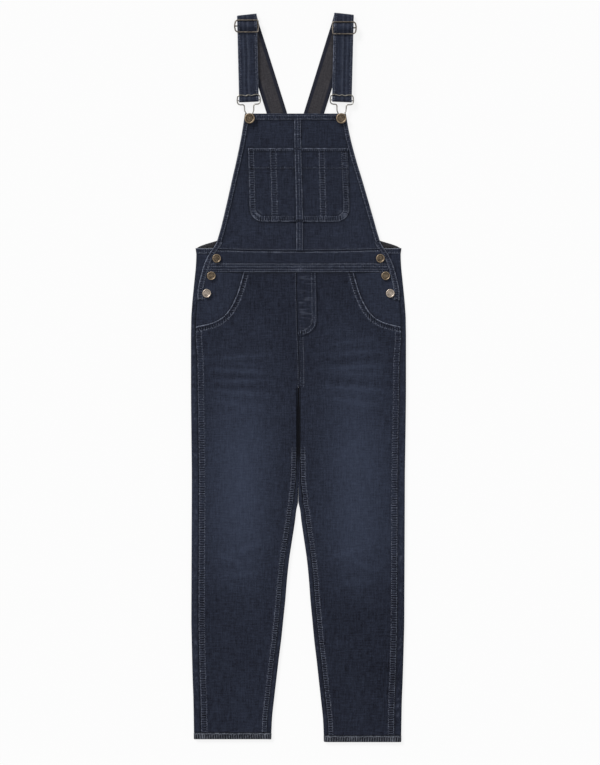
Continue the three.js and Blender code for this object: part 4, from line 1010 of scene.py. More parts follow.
def bib_seam(y):
    return read(BIB_SEAM, y, "x")


def from_pocket_edge(x, y):
    """Distance in from the pocket's sewn edge, and the place along that edge."""
    reach = abs(x - bib_seam(y))
    dx, dy = reach - (POCKET_HALF - POCKET_CORNER), POCKET_FOOT + POCKET_CORNER - y
    if dx > 0 and dy > 0:
        return POCKET_CORNER - math.hypot(dx, dy), math.atan2(dy, dx) * POCKET_CORNER
    if dx > dy:
        return POCKET_HALF - reach, -y
    return y - POCKET_FOOT, reach


def bib_painted_shade(x, y):
    """Painted shade on the bib: darker lines along the edges of the pocket, the fell and the hems that lie on
    it, and along the waist seam.
    """
    near = from_pocket_edge(x, y)[0]
    above = y - POCKET_TOP
    if above > 0:
        near = -above if abs(x - bib_seam(y)) < POCKET_HALF else -9.0
    marks = 0.5 * math.exp(-max(0.0, -near) / 2.4) * (near < 0.5)
    marks += 0.4 * math.exp(-max(0.0, abs(x - bib_seam(y)) - BIB_FELL / 2) / 1.8)
    marks += 0.4 * math.exp(-max(0.0, front_half(y) - abs(x) - BIB_SIDE_HEM) / 2.0)
    marks += 0.4 * math.exp(-max(0.0, BIB_TOP - BIB_HEM - y) / 2.0) + 0.2 * groove(y - WAIST_SEAM, 1.6)
    return -min(0.7, marks)


def bib_look(x, y):
    faded = fade_at(x, y) + 0.2 * max(0.0, spots(BIB_CREASES, x, y))
    return faded, bib_painted_shade(x, y), groove(y - WAIST_ROW, 1.9)


def bib_height(x, y):
    calm = smooth_step(0, 8, front_half(y) - abs(x))
    soft = spots(BIB_CREASES, x, y) + 0.3 * drift(x, y, 34, 40, 12.0)
    return upper_level(x, y) + calm * (soft + 0.12 * drift(x, y, 10, 11, 3.0))


for label, sign in SIDES:
    if sign < 0:
        edges = (lambda y: -front_half(y), lambda y: bib_seam(y) - GAP / 2)
    else:
        edges = (lambda y: bib_seam(y) + GAP / 2, front_half)
    bm = laid(steps_between(WAIST_SEAM, BIB_TOP, 3 * FINE), *edges, bib_height, round(54 / FINE), bib_look)
    finish_cloth(f"denim_bib_{label}", bm, WALL, [f"bib_{label}"])
topstitch("stitches_bib_waist", [row_across(-156, 156, WAIST_ROW)], bib_height)


# Bib's centre fell: a narrow strip of denim, its edges folded in, sewn down over the join of the two
# halves with three rows. It has roped between the rows and gone light along its edges.
def on_upper(x, y):
    return upper_level(x, y) + GAP + TRIM


def strip_detail(along, inset, width, rows, seed, rubbed=0.4, bars=0.4):
    """Lift and marks of a narrow sewn strip: roped between its rows, edges rolled and rubbed, and painted
    shade beside each row.
    """
    near = min(inset, width - inset)
    pucker = rope(along, inset, rows[0], rows[-1], pitch=8.5, slant=0.8, seed=seed)
    lift = 0.3 * pucker - 0.4 * smooth_step(1.1, 0.0, near) - 0.3 * sum(groove(inset - row) for row in rows)
    wear_and_shade = 0.1 * pucker + rubbed * uneven(along, seed) * smooth_step(1.5, 0.2, near)
    wear_and_shade += 0.18 * rails(rows, inset)
    # Painted shade: a dark line just beside each row.
    return lift, (0.14, wear_and_shade - 0.1 * sum(groove(inset - row - 1.5, 1.2) for row in rows), beside(rows, inset),
                  bars * between(rows[0], rows[-1], inset))


def sewn_strip(name, node, rows, edges, level, detail, columns, sewing, lines, laid_straight=True):
    """A strip of denim at level(x, y) with its detail, and its topstitching on it."""
    def height(x, y):
        return level(x, y) + detail(x, y)[0]

    bm = laid(rows, *edges, height, columns, lambda x, y: detail(x, y)[1], strip=laid_straight)
    finish_cloth(name, bm, TRIM, [node])
    topstitch(sewing, lines, height)


def fell_edges():
    return (lambda y: bib_seam(y) - BIB_FELL / 2), (lambda y: bib_seam(y) + BIB_FELL / 2)


def bib_fell_detail(x, y):
    return strip_detail(y, x - bib_seam(y) + BIB_FELL / 2, BIB_FELL, (1.4, 7.1, 12.0), 2.0, bars=0.25)


sewn_strip("denim_bib_centre_fell", "bib_centre_fell",
           steps_between(WAIST_SEAM + GAP, BIB_TOP - BIB_HEM - GAP, 2 * FINE), fell_edges(), on_upper,
           bib_fell_detail, 10, "stitches_bib_centre",
           [rows_down(lambda y: bib_seam(y) + aside, WAIST_SEAM + 2, BIB_TOP - BIB_HEM - 2)
            for aside in (-5.3, 0.4, 5.3)])


# Bib hems: the top edge and the two side edges of the bib's own denim, turned in twice and sewn down
# with a double row each. They have roped a little and gone light along the fold.
SIDE_HEM_ROWS = (1.6, 7.6)


def top_hem_detail(x, y):
    return strip_detail(x, y - BIB_TOP + BIB_HEM, BIB_HEM, (1.4, 8.4), 5.0, bars=-0.35)


def side_hem_detail(x, y):
    return strip_detail(y, front_half(y) - abs(x), BIB_SIDE_HEM, SIDE_HEM_ROWS, 8.0 if x > 0 else 3.0, 0.2)


def edge_strip(sign, width):
    """The edge lines of a strip along the front's side edge."""
    return mirrored(sign, lambda y: front_half(y) - width, front_half)


def rows_along_edge(sign, insets, first, last):
    return [rows_down(lambda y: sign * (front_half(y) - inset), first, last) for inset in insets]


sewn_strip("denim_bib_top_hem", "bib_top_hem", steps_between(BIB_TOP - BIB_HEM, BIB_TOP, 1.2 * FINE),
           both_edges(front_half), on_upper, top_hem_detail, round(90 / FINE),
           "stitches_bib_top", [row_across(-96, 96, y) for y in (503.6, 510.6)], laid_straight=False)
for label, sign in SIDES:
    sewn_strip(f"denim_bib_side_hem_{label}", f"bib_side_hem_{label}",
               steps_between(264, BIB_TOP - BIB_HEM - GAP, 2 * FINE), edge_strip(sign, BIB_SIDE_HEM),
               on_upper, side_hem_detail, 8, f"stitches_bib_side_{label}",
               rows_along_edge(sign, SIDE_HEM_ROWS, 256, BIB_TOP - BIB_HEM - 1))


# Bib pocket: one piece on the bib with round lower corners, roped all round between its two rows,
# with a deep top hem, two pairs of dividing rows and a felled strip down its middle.
POCKET_ROWS = (1.8, 10.4)
DIVIDERS = (-50.2, -40.2, 44.6, 54.2)
DIVIDERS_ASIDE = 3.5
TOP_ROW, HEM_ROW = 3.6, 0.4


def pocket_half(y):
    short = max(0.0, POCKET_CORNER - (y - POCKET_FOOT))
    return POCKET_HALF - POCKET_CORNER + math.sqrt(max(0.0, POCKET_CORNER ** 2 - short ** 2))


def pocket_detail(x, y):
    near, along = from_pocket_edge(x, y)
    aside = x - bib_seam(y)
    side = 1.0 if aside > 0 else -1.0
    pucker = rope(along, near, *POCKET_ROWS, pitch=9.0, slant=0.8, seed=11 + side)
    lift = 0.45 * pucker - 0.5 * smooth_step(1.3, 0.0, near)
    lift -= 0.4 * sum(groove(near - row) for row in POCKET_ROWS)
    wear_and_shade = 0.12 * pucker + 0.55 * uneven(along, side) * smooth_step(1.7, 0.2, near)
    # Rubbed light on the inner row, with painted shade just inside it.
    wear_and_shade += 0.2 * rails(POCKET_ROWS[1:], near) - 0.2 * groove(near - POCKET_ROWS[1] - 2.2, 1.4)
    cornered = max(0.0, 1 - math.hypot(abs(aside) - POCKET_HALF + 12, y - POCKET_FOOT - 12) / 15)
    crumple = rope(x + y, 5, 0, 10, pitch=5.5, slant=0, seed=33.0)
    wear_and_shade += 0.5 * cornered * (0.5 + crumple)
    lift += 0.4 * cornered * crumple
    below = POCKET_TOP - POCKET_HEM - y
    divided = aside + DIVIDERS_ASIDE
    for row in DIVIDERS:
        lift -= 0.4 * groove(divided - row) * smooth_step(0, 3, near)
        wear_and_shade += 0.26 * groove(divided - row)
    for first, last in (DIVIDERS[:2], DIVIDERS[2:]):
        pucker = rope(y, divided - first, 0.0, last - first, pitch=9.0, slant=0.8, seed=first)
        lift += 0.2 * pucker
        wear_and_shade += 0.06 * pucker
    dent = math.exp(-((x - 1) / 8) ** 2 - ((y - 396) / 12) ** 2)
    top = smooth_step(1.6, 0.0, POCKET_TOP - y)
    lift += 0.5 * smooth_step(-1.0, 3.0, -below) - 0.35 * top
    lift -= 0.35 * groove(below + HEM_ROW)
    # The top edge is rubbed light; painted shade makes dark lines within the top hem, under its lower edge
    # and beside the fell down the middle.
    wear_and_shade += 0.6 * uneven(x, 3.0) * top - 0.4 * groove(y - POCKET_TOP + 6.5, 1.8)
    wear_and_shade -= 0.3 * groove(below - 1.6, 1.6)
    wear_and_shade -= 0.4 * math.exp(-max(0.0, abs(aside) - BIB_FELL / 2) / 1.8)
    soft = 0.25 * drift(x, y, 26, 30, 20.0) + 0.14 * drift(x, y, 9, 10, 22.0)
    sewn = beside(POCKET_ROWS, near) + groove(y - POCKET_TOP + TOP_ROW, 1.9) + groove(below + HEM_ROW, 1.9)
    sewn += beside(DIVIDERS, divided)
    runs_down = -1 if y - POCKET_FOOT < POCKET_HALF - abs(aside) else 1
    bars = 0.5 * between(*POCKET_ROWS, near) * runs_down
    divides = between(*DIVIDERS[:2], divided) + between(*DIVIDERS[2:], divided)
    bars += 0.35 * divides * smooth_step(9, 14, near)
    # Painted shade in the dent under the fell: a lower fade and a darker mark.
    look = (0.08 - 0.12 * dent, wear_and_shade - 0.2 * dent, min(1.0, sewn), bars)
    return lift + soft * smooth_step(6, 16, near), look, dent


def pocket_height(x, y):
    over_seam = smooth_step(22, 10, abs(x - bib_seam(y)))
    return upper_level(x, y) + GAP + WALL + (TRIM + GAP) * over_seam + pocket_detail(x, y)[0]


pocket_levels = [POCKET_FOOT + rise for rise in (0, 0.7, 1.6, 2.8, 4.2)]
bm = laid(pocket_levels + steps_between(POCKET_FOOT + 6, POCKET_TOP, 1.9 * FINE),
          lambda y: bib_seam(y) - pocket_half(y), lambda y: bib_seam(y) + pocket_half(y),
          pocket_height, round(112 / FINE), lambda x, y: pocket_detail(x, y)[1])
finish_cloth("denim_bib_pocket", bm, WALL, ["bib_pocket"])


def pocket_row(inset):
    line = [(bib_seam(y) - POCKET_HALF + inset, y)
            for y in steps_between(POCKET_TOP - 2, POCKET_FOOT + POCKET_CORNER, 6)]
    corner_x, corner_y = POCKET_HALF - POCKET_CORNER, POCKET_FOOT + POCKET_CORNER
    for degrees in range(190, 270, 10):
        angle = math.radians(degrees)
        line.append((bib_seam(corner_y) - corner_x + (POCKET_CORNER - inset) * math.cos(angle),
                     corner_y + (POCKET_CORNER - inset) * math.sin(angle)))
    middle = bib_seam(POCKET_FOOT)
    return line + [(2 * middle - x, y) for x, y in reversed(line)]


divisions = [rows_down(lambda y: bib_seam(y) - DIVIDERS_ASIDE + row, POCKET_FOOT + 2, POCKET_TOP - 2)
             for row in DIVIDERS]
level_rows = [row_across(bib_seam(y) - 94, bib_seam(y) + 94, y)
              for y in (POCKET_TOP - TOP_ROW, POCKET_TOP - POCKET_HEM + HEM_ROW)]
topstitch("stitches_bib_pocket", [pocket_row(inset) for inset in POCKET_ROWS] + divisions + level_rows,
          pocket_height)


def pocket_fell_detail(x, y):
    return strip_detail(y, x - bib_seam(y) + BIB_FELL / 2, BIB_FELL, (1.5, 7.3, 11.9), 14.0, bars=0.25)


def pocket_fell_level(x, y):
    dent = pocket_detail(x, y)[2]
    hem = 0.5 * smooth_step(POCKET_TOP - POCKET_HEM - 3, POCKET_TOP - POCKET_HEM + 1, y)
    return upper_level(x, y) + 2 * GAP + WALL + 2 * TRIM + GAP + hem - 0.5 * dent


sewn_strip("denim_bib_pocket_fell", "bib_pocket_fell",
           steps_between(POCKET_FOOT + 3, POCKET_TOP - 3, 2 * FINE), fell_edges(), pocket_fell_level,
           pocket_fell_detail, 10, "stitches_pocket_fell",
           [rows_down(lambda y: bib_seam(y) + aside, POCKET_FOOT + 4, POCKET_TOP - 4)
            for aside in (-5.2, 0.6, 5.2)])


# Placket hems: the curved front edges of the side openings, where the denim is turned in over the
# facing and sewn with a double row. A bartack of close stitches holds each at its foot.
PLACKET_WIDTH, PLACKET_ROWS = PLACKET_HEM * 1.1, (1.8, 8.6)


def placket_level(x, y):
    above = max(upper_level(x, y) + 0.5 * smooth_step(232, 222, y), FACING_LEVEL) - FACING_LEVEL
    return GAP + TRIM + FACING_LEVEL + above * smooth_step(196, 206, y)


def placket_detail(x, y):
    return strip_detail(y, front_half(y) - abs(x), PLACKET_WIDTH, PLACKET_ROWS, 17.0 if x > 0 else 19.0, 1.2)


def placket_height(x, y):
    return placket_level(x, y) + placket_detail(x, y)[0]


for label, sign in SIDES:
    sewn_strip(f"denim_placket_{label}", f"placket_hem_{label}",
               steps_between(OPENING_FOOT + GAP, 264 - GAP, 1.8 * FINE), edge_strip(sign, PLACKET_WIDTH),
               placket_level, placket_detail, 9,
               f"stitches_placket_{label}", rows_along_edge(sign, PLACKET_ROWS, OPENING_FOOT + 1, 258))
    tack = [(sign * reach, 153.2 + 1.1 * (i % 2)) for i, reach in enumerate(steps_between(182, 196, 0.9))]
    topstitch(f"bartack_{label}", [tack], placket_height, pitch=1.1)


# Back waist edges: the turned top edge of the back panel's denim where it comes round on to the front
# and shows past the side opening. A double row along it holds it down.
BACK_WAIST_EDGE = 11.0
BACK_EDGE_ROWS = (1.9, 8.3)


def back_edge_level(x, y):
    return UNDERLAP_LEVEL + GAP + TRIM


def back_edge_detail(x, y):
    return strip_detail(x, BACK_WAIST - GAP - y, BACK_WAIST_EDGE, BACK_EDGE_ROWS, 23.0, 0.8, -0.35)


for label, sign in SIDES:
    sewn_strip(f"denim_back_waist_edge_{label}", f"back_waist_edge_{label}",
               steps_between(BACK_WAIST - BACK_WAIST_EDGE, BACK_WAIST - GAP, 1.4 * FINE),
               mirrored(sign, lambda y: front_half(y) + 0.8, lambda y: side_fold(y) - 2), back_edge_level,
               back_edge_detail, 14, f"stitches_back_waist_{label}",
               [[(sign * x, y) for x, y in row_across(front_half(row) + 2, side_fold(row) - 4, row, 4)]
                for row in (BACK_WAIST - GAP - inset for inset in BACK_EDGE_ROWS)], laid_straight=False)


# Leg hems: the end of each leg, its denim turned up twice all round as a doubled band. One row near
# its upper edge holds it, and below that it has roped and is worn light.
HEM_LEVEL, HEM_WALL, HEM_TUCK, HEM_ROW_INSET = 5.7, 2.0, 0.4, 2.0
HEM_MERGE = 0.00002
HEM_RING = 132
worn_denim = cloth_material("worn_hem_denim", srgb(29, 31, 38), srgb(57, 61, 70), srgb(98, 102, 112),
                            srgb(116, 120, 130), 0.1)


def hem_detail(x, y, on_top):
    inset = HEM_END + HEM_DEPTH - y
    pucker = rope(x, inset, 1.6, 11.5, pitch=6.6, slant=1.0, seed=27.0 if x > 0 else 29.0)
    near = min(inset, HEM_DEPTH - inset)
    lift = (0.4 if on_top else 0.1) * pucker - 0.4 * smooth_step(1.4, 0.0, near)
    wear_and_shade = 0.4 * pucker + 0.45 * uneven(x, 4.0) * smooth_step(1.8, 0.2, near)
    past_outseam = abs(x) - side_fold(y) + read(SIDE_FOLD, y, "wrap") + 4
    past_inseam = abs(x) - inseam(y) - 3
    crossing = max(groove(past_outseam, 5.5), 0.6 * groove(past_inseam, 5.0)) if on_top else 0.0
    lift += 0.4 * crossing
    wear_and_shade = 0.55 * wear_and_shade + crossing * (0.32 + 0.5 * rope(x, inset, 0.5, 12, pitch=5.0, slant=0.4, seed=31.0))
    # Painted shade along the hem's upper edge.
    wear_and_shade += 0.16 + 0.2 * rails((HEM_ROW_INSET,), inset) - 0.3 * smooth_step(0.9, 0.0, inset)
    return lift, (0.08, wear_and_shade, groove(inset - HEM_ROW_INSET, 1.9), -0.7 * between(2.6, 12.5, inset))


def hem_ring(s, inner, outer, radius):
    """The place at a distance s round the hem's ring, from the inner fold along the surface first:
    x, z, the way out, and whether it shows from above."""
    run, arc = outer - inner, math.pi * radius
    if s < run:
        return inner + s, 0.0, (0, -1), False
    if run + arc <= s < 2 * run + arc:
        return outer - (s - run - arc), HEM_LEVEL, (0, 1), True
    at_outer = s < run + arc
    angle = (s - run) / radius - math.pi / 2 if at_outer else (s - 2 * run - arc) / radius + math.pi / 2
    way = (math.cos(angle), math.sin(angle))
    return ((outer if at_outer else inner) + radius * way[0], radius + radius * way[1], way,
            angle > 0.6 if at_outer else angle < 2.5)


for label, sign in SIDES:
    hem_rows = steps_between(HEM_END, HEM_END + HEM_DEPTH, 1.3 * FINE)
    bm, uv, layers, points = grid_of(HEM_RING + 1, len(hem_rows))
    flat = {}
    radius = HEM_LEVEL / 2
    for j, y in enumerate(hem_rows):
        inner = inner_fold(y) - HEM_TUCK + radius
        outer = side_fold(y) + HEM_TUCK - radius
        for i in range(HEM_RING + 1):
            s = ((outer - inner) * 2 + math.pi * radius * 2) * i / HEM_RING
            x, z, way, on_top = hem_ring(s, inner, outer, radius)
            lift, values = hem_detail(sign * x, y, on_top)
            if not on_top:
                lift = 0.0 if s < outer - inner else min(0.0, lift)
            vert = points[i, j]
            vert.co = lie(sign * (x + lift * way[0]), y, z + lift * way[1])
            mark(vert, layers, values)
            flat[vert] = (s / 1000, y / 1000)
    lay_pattern(bm, uv, flat, turned=sign > 0)
    bmesh.ops.remove_doubles(bm, verts=bm.verts, dist=HEM_MERGE)
    finish_cloth(f"denim_leg_hem_{label}", bm, HEM_WALL, [f"leg_hem_{label}"], outside=worn_denim)
    stitch_y = HEM_END + HEM_DEPTH - HEM_ROW_INSET
    row = row_across(inner_fold(stitch_y) + 3, side_fold(stitch_y) - 3, stitch_y)
    topstitch(f"stitches_leg_hem_{label}", [[(sign * x, y) for x, y in row]],
              lambda x, y: HEM_LEVEL + hem_detail(x, y, True)[0])


# Shoulder straps: each one long piece, from the back bib over the top fold, woven through the slide,
# down to the clip's bar and round it, and back up inside to the slide. The back run shows the inside:
# brown-grey with the navy seam allowances turned in along both edges.
STRAP_HALF, STRAP_WALL, STRAP_LEAN, STRAP_ROOT, STRAP_X = 19.2, 2.0, 0.3126, 21.5, 94.2
SLIDE_WIRE, SLIDE_LEVEL, SLIDE_BAR = 1.4, 9.0, 11.6
SLIDE_Y = {"left": 684.8, "right": 679.6}
CLIP_WIRE, CLIP_LEVEL, CLIP_BAR = 1.2, 6.6, 35.5
TOP_FOLD_Y, TOP_FOLD_X, STRAP_FOLD = 704.4, 94.6, 2.65
STRAP_FRONT_LEAN, STRAP_CLIP_LEAN, STRAP_TOP_LEAN = -0.024, -0.04, -0.1075
UNDER_BAR = SLIDE_LEVEL - SLIDE_WIRE - GAP - STRAP_WALL / 2
OVER_BAR = SLIDE_LEVEL + SLIDE_WIRE + GAP + STRAP_WALL / 2
BUTTON_X, BUTTON_Y = 89.2, 504.2

strap_inside = cloth_material("strap_inside", srgb(44, 43, 47), srgb(73, 71, 75), srgb(101, 96, 96),
                              srgb(120, 114, 110), 0.22)
tree = strap_inside.node_tree
strap_uv = put(tree, "ShaderNodeUVMap", uv_map="cloth")
across_strap = put(tree, "ShaderNodeSeparateXYZ", {0: strap_uv.outputs[0]})
from_middle = sums(tree, "ABSOLUTE", across_strap.outputs["X"])
from_edge = sums(tree, "SUBTRACT", STRAP_HALF / 1000, from_middle)
border = put(tree, "ShaderNodeMapRange", {"Value": from_edge, 1: 0.0066, 2: 0.0078, 3: 1.0, 4: 0.0})
group = next(node for node in tree.nodes if node.type == "GROUP")
navy = blend(tree, border.outputs[0], group.outputs["Colour"], srgb(34, 36, 46))
tree.links.new(navy, tree.nodes["Principled BSDF"].inputs["Base Color"])


def strap_stations(slide_y):
    """Places along the strap's middle: x, y, z, how its width leans there, and half its width."""
    stations = []

    def add(x, y, z, lean, half=STRAP_HALF):
        stations.append((x, y, z, lean, half))

    def back_x(y):
        return STRAP_ROOT + STRAP_LEAN * (y - BACK_BIB_TOP)

    def front_x(y):
        return STRAP_X - STRAP_FRONT_LEAN * (y - 694)

    floor_z = STRAP_WALL / 2
    add(back_x(BACK_BIB_TOP + GAP), BACK_BIB_TOP + GAP, floor_z, 0, STRAP_HALF * math.hypot(1, STRAP_LEAN))
    for y in (484, 530, 580, 640, 690):
        add(back_x(y), y, floor_z, -STRAP_LEAN)
    for degrees in range(-90, 91, 30):
        angle = math.radians(degrees)
        lean = STRAP_TOP_LEAN + 0.35 * (STRAP_TOP_LEAN + STRAP_LEAN) * min(0, degrees / 90)
        add(TOP_FOLD_X, TOP_FOLD_Y + STRAP_FOLD * math.cos(angle),
            floor_z + STRAP_FOLD * (1 + math.sin(angle)), lean)
    top, foot = slide_y + SLIDE_BAR, slide_y - SLIDE_BAR
    for y, z in ((top, UNDER_BAR - 0.1), (top - 2.4, UNDER_BAR + 0.6), (slide_y + 2.4, OVER_BAR - 0.6),
                 (slide_y, OVER_BAR), (slide_y - 2.4, OVER_BAR - 0.6), (foot + 2.4, UNDER_BAR + 0.6),
                 (foot, UNDER_BAR - 0.1)):
        add(front_x(y), y, z, 0)
    bar = BUTTON_Y + CLIP_BAR
    turn = CLIP_WIRE + GAP + STRAP_WALL / 2
    for y, z in ((foot - 5, 6.0), (620, 5.9), (570, 5.9), (bar + 14, 6.1), (bar + 9, 7.1), (bar + 4.5, 8.6)):
        add(front_x(y), y, z, STRAP_FRONT_LEAN)
    for degrees in range(90, 271, 45):
        angle = math.radians(degrees)
        add(front_x(bar), bar + turn * math.cos(angle), CLIP_LEVEL + turn * math.sin(angle), STRAP_CLIP_LEAN)
    for y, z in ((bar + 7, 3.9), (bar + 20, 3.4), (610, 3.4), (foot - 3, 3.4), (foot + 3, 3.9),
                 (slide_y - 3, UNDER_BAR - 0.2), (slide_y + 3, UNDER_BAR - 0.1)):
        add(front_x(y), y, z, STRAP_FRONT_LEAN)
    return stations


def finer(stations, step):
    """The stations read more closely, on a soft curve through them."""
    def heading(a, b, gap):
        share = min(1.0, gap / max(0.01, math.dist(a[:3], b[:3])))
        return [(q - p) * share for p, q in zip(a, b)]

    out = []
    for i in range(len(stations) - 1):
        first, second = stations[i], stations[i + 1]
        gap = math.dist(first[:3], second[:3])
        start = heading(stations[max(0, i - 1)], second, gap)
        end = heading(first, stations[min(len(stations) - 1, i + 2)], gap)
        count = max(1, round(gap / step))
        for k in range(count):
            t = k / count
            out.append(tuple((1 + 2 * t) * (1 - t) ** 2 * a + t * t * (3 - 2 * t) * b
                             + t * (1 - t) ** 2 * p + t * t * (t - 1) * q
                             for a, b, p, q in zip(first, second, start, end)))
    return out + [stations[-1]]


STRAP_COLUMNS, STRAP_ROW = 17, 4.0


def strap_detail(across, travelled, seed, facing_up):
    """Lift and marks of the strap; on its front run, which faces up, it has a crease along it, with painted
    shade in its trough and a lighter band on either side, and painted shade lies beside its rows.
    """
    inset = STRAP_HALF - abs(across)
    pucker = rope(travelled, inset, 0.6, 4.4, pitch=7.0, slant=0.8, seed=seed + (9 if across > 0 else 0))
    lift = 0.16 * pucker - 0.3 * smooth_step(1.5, 0.0, inset) - 0.15 * groove(inset - STRAP_ROW)
    wear_and_shade = 0.1 * pucker + 0.8 * uneven(travelled, seed) * smooth_step(1.6, 0.2, inset)
    wear_and_shade += 0.2 * groove(inset - STRAP_ROW)
    # Painted shade: a dark line just inside the row.
    wear_and_shade -= 0.2 * groove(inset - 6.2, 1.2)
    crease = across - 3.5 + 1.6 * drift(travelled, seed, 40, 1, 1.0)
    # Painted shade down the crease's trough, lighter on either side of it.
    wear_and_shade += facing_up * (0.16 * groove(crease + 3.2, 2.4) - 0.3 * groove(crease, 1.7)
                      + 0.1 * groove(crease - 4.0, 2.8))
    lift -= 0.12 * facing_up * groove(crease, 2.2)
    return lift, (0.2, wear_and_shade, 1.2 * groove(inset - STRAP_ROW, 1.9), 0.3 * between(0.8, STRAP_ROW, inset))


for label, sign in SIDES:
    middle = finer(strap_stations(SLIDE_Y[label]), 2.6 * FINE)
    bm, uv, layers, points = grid_of(STRAP_COLUMNS, len(middle))
    flat = {}
    travelled = 0.0
    seams = {-1: [], 1: []}
    for j, (x, y, z, lean, half) in enumerate(middle):
        before, after = middle[max(0, j - 1)], middle[min(len(middle) - 1, j + 1)]
        travelled += math.dist((x, y, z), before[:3])
        length = math.hypot(after[1] - before[1], after[2] - before[2])
        out_y, out_z = (after[2] - before[2]) / length, (before[1] - after[1]) / length
        size = math.hypot(1, lean)
        for i in range(STRAP_COLUMNS):
            across = half * (2 * i / (STRAP_COLUMNS - 1) - 1)
            lift, values = strap_detail(across / half * STRAP_HALF, travelled, 31.0 + sign, out_z > 0)
            rise = STRAP_WALL / 2 + (min(0.0, lift) if z < 2 else lift)
            vert = points[i, j]
            vert.co = lie(sign * (x + across / size), y + across * lean / size + out_y * rise,
                          max(0.0, z + out_z * rise))
            mark(vert, layers, values)
            flat[vert] = (across / 1000, travelled / 1000)
        for edge in (-1, 1):
            across = edge * (half - STRAP_ROW)
            seams[edge].append(((sign * (x + across / size), y + across * lean / size), z, out_z))
    lay_pattern(bm, uv, flat, turned=sign > 0)
    finish_cloth(f"denim_strap_{label}", bm, STRAP_WALL, [f"strap_{label}"],
                 inside=strap_inside)
    lines = []
    shown = {}
    for edge in (-1, 1):
        run = [entry for entry in seams[edge] if entry[2] > 0.8]
        part = []
        for place, z, _ in run:
            if part and math.dist(place, part[-1]) > 12:
                lines.append(part)
                part = []
            part.append(place)
            shown[round(place[0], 3), round(place[1], 3)] = z + STRAP_WALL / 2
        lines.append(part)
    keys = list(shown)

    def strap_top(x, y):
        nearest = min(keys, key=lambda key: (key[0] - x) ** 2 + (key[1] - y) ** 2)
        return shown[nearest] - 0.1

    topstitch(f"stitches_strap_{label}", lines, strap_top)


# Slides: a frame of bent round wire for each strap, with a centre bar that the strap runs over. The
# wire is dull steel, browned by wear.
def metal(name, dark, light, roughness, scale):
    """Stained metal that goes from dark to light, lighter where the attribute polish says so."""
    material, tree, shader = new_material(name)
    place = put(tree, "ShaderNodeTexCoord").outputs["Object"]
    stain = noise_of(tree, place, scale, 4.0)
    spread = put(tree, "ShaderNodeMapRange", {"Value": stain, 1: 0.35, 2: 0.65, 3: 0.0, 4: 0.5}).outputs[0]
    colour = blend(tree, sums(tree, "ADD", spread, attribute(tree, "polish")), dark, light)
    grain = noise_of(tree, place, 2600.0)
    bump = put(tree, "ShaderNodeBump", {"Height": grain, "Distance": 0.00003, "Strength": 0.6})
    rough = sums(tree, "MULTIPLY_ADD", stain, 0.25, roughness)
    tree.links.new(colour, shader.inputs["Base Color"])
    tree.links.new(rough, shader.inputs["Roughness"])
    tree.links.new(bump.outputs[0], shader.inputs["Normal"])
    shader.inputs["Metallic"].default_value = 1.0
    return material


wire_steel = metal("browned_steel", srgb(96, 88, 82), srgb(172, 164, 154), 0.28, 240)
clip_steel = metal("bright_steel", srgb(128, 124, 118), srgb(206, 203, 196), 0.2, 240)


def wires(name, node, paths, radius, finish):
    """Round wire along paths of (points, closed), all one curve object."""
    curve = round_curve(name, radius, 3, finish)
    for path, closed in paths:
        spline = curve.splines.new("POLY")
        spline.points.add(len(path) - 1)
        for point, place in zip(spline.points, path):
            point.co = (*place, 1)
        spline.use_cyclic_u = closed
        spline.use_smooth = True
    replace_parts(add_piece(name, curve), node)


def corner(x, y, radius, first, last):
    """A round corner of a wire about x, y, from the first angle down to the last."""
    return [(x + radius * math.cos(math.radians(degrees)), y + radius * math.sin(math.radians(degrees)))
            for degrees in range(first, last - 1, -10)]


SLIDE_INNER, SLIDE_OUTER, ROUND_INNER, ROUND_OUTER = -21.1, 23.6, 2.4, 6.5
SLIDE_X = STRAP_X - 0.3
for label, sign in SIDES:
    frame_line = (corner(SLIDE_OUTER - ROUND_OUTER, SLIDE_BAR - ROUND_OUTER, ROUND_OUTER, 90, 0)
                  + [(SLIDE_OUTER + 0.5, 3), (SLIDE_OUTER + 0.6, 0), (SLIDE_OUTER + 0.5, -3)]
                  + corner(SLIDE_OUTER - ROUND_OUTER, -SLIDE_BAR + ROUND_OUTER, ROUND_OUTER, 0, -90)
                  + corner(SLIDE_INNER + ROUND_INNER, -SLIDE_BAR + ROUND_INNER, ROUND_INNER, -90, -180)
                  + [(SLIDE_INNER - 0.5, 0)]
                  + corner(SLIDE_INNER + ROUND_INNER, SLIDE_BAR - ROUND_INNER, ROUND_INNER, 180, 90))
    placed = [lie(sign * (SLIDE_X + x), SLIDE_Y[label] + y, SLIDE_LEVEL) for x, y in frame_line]
    bar = [lie(sign * (SLIDE_X + x), SLIDE_Y[label], SLIDE_LEVEL)
           for x in (SLIDE_INNER - 0.4, 0, SLIDE_OUTER + 0.4)]
    wires(f"slide_wire_{label}", f"slide_{label}", [(placed, True), (bar, False)], SLIDE_WIRE, wire_steel)


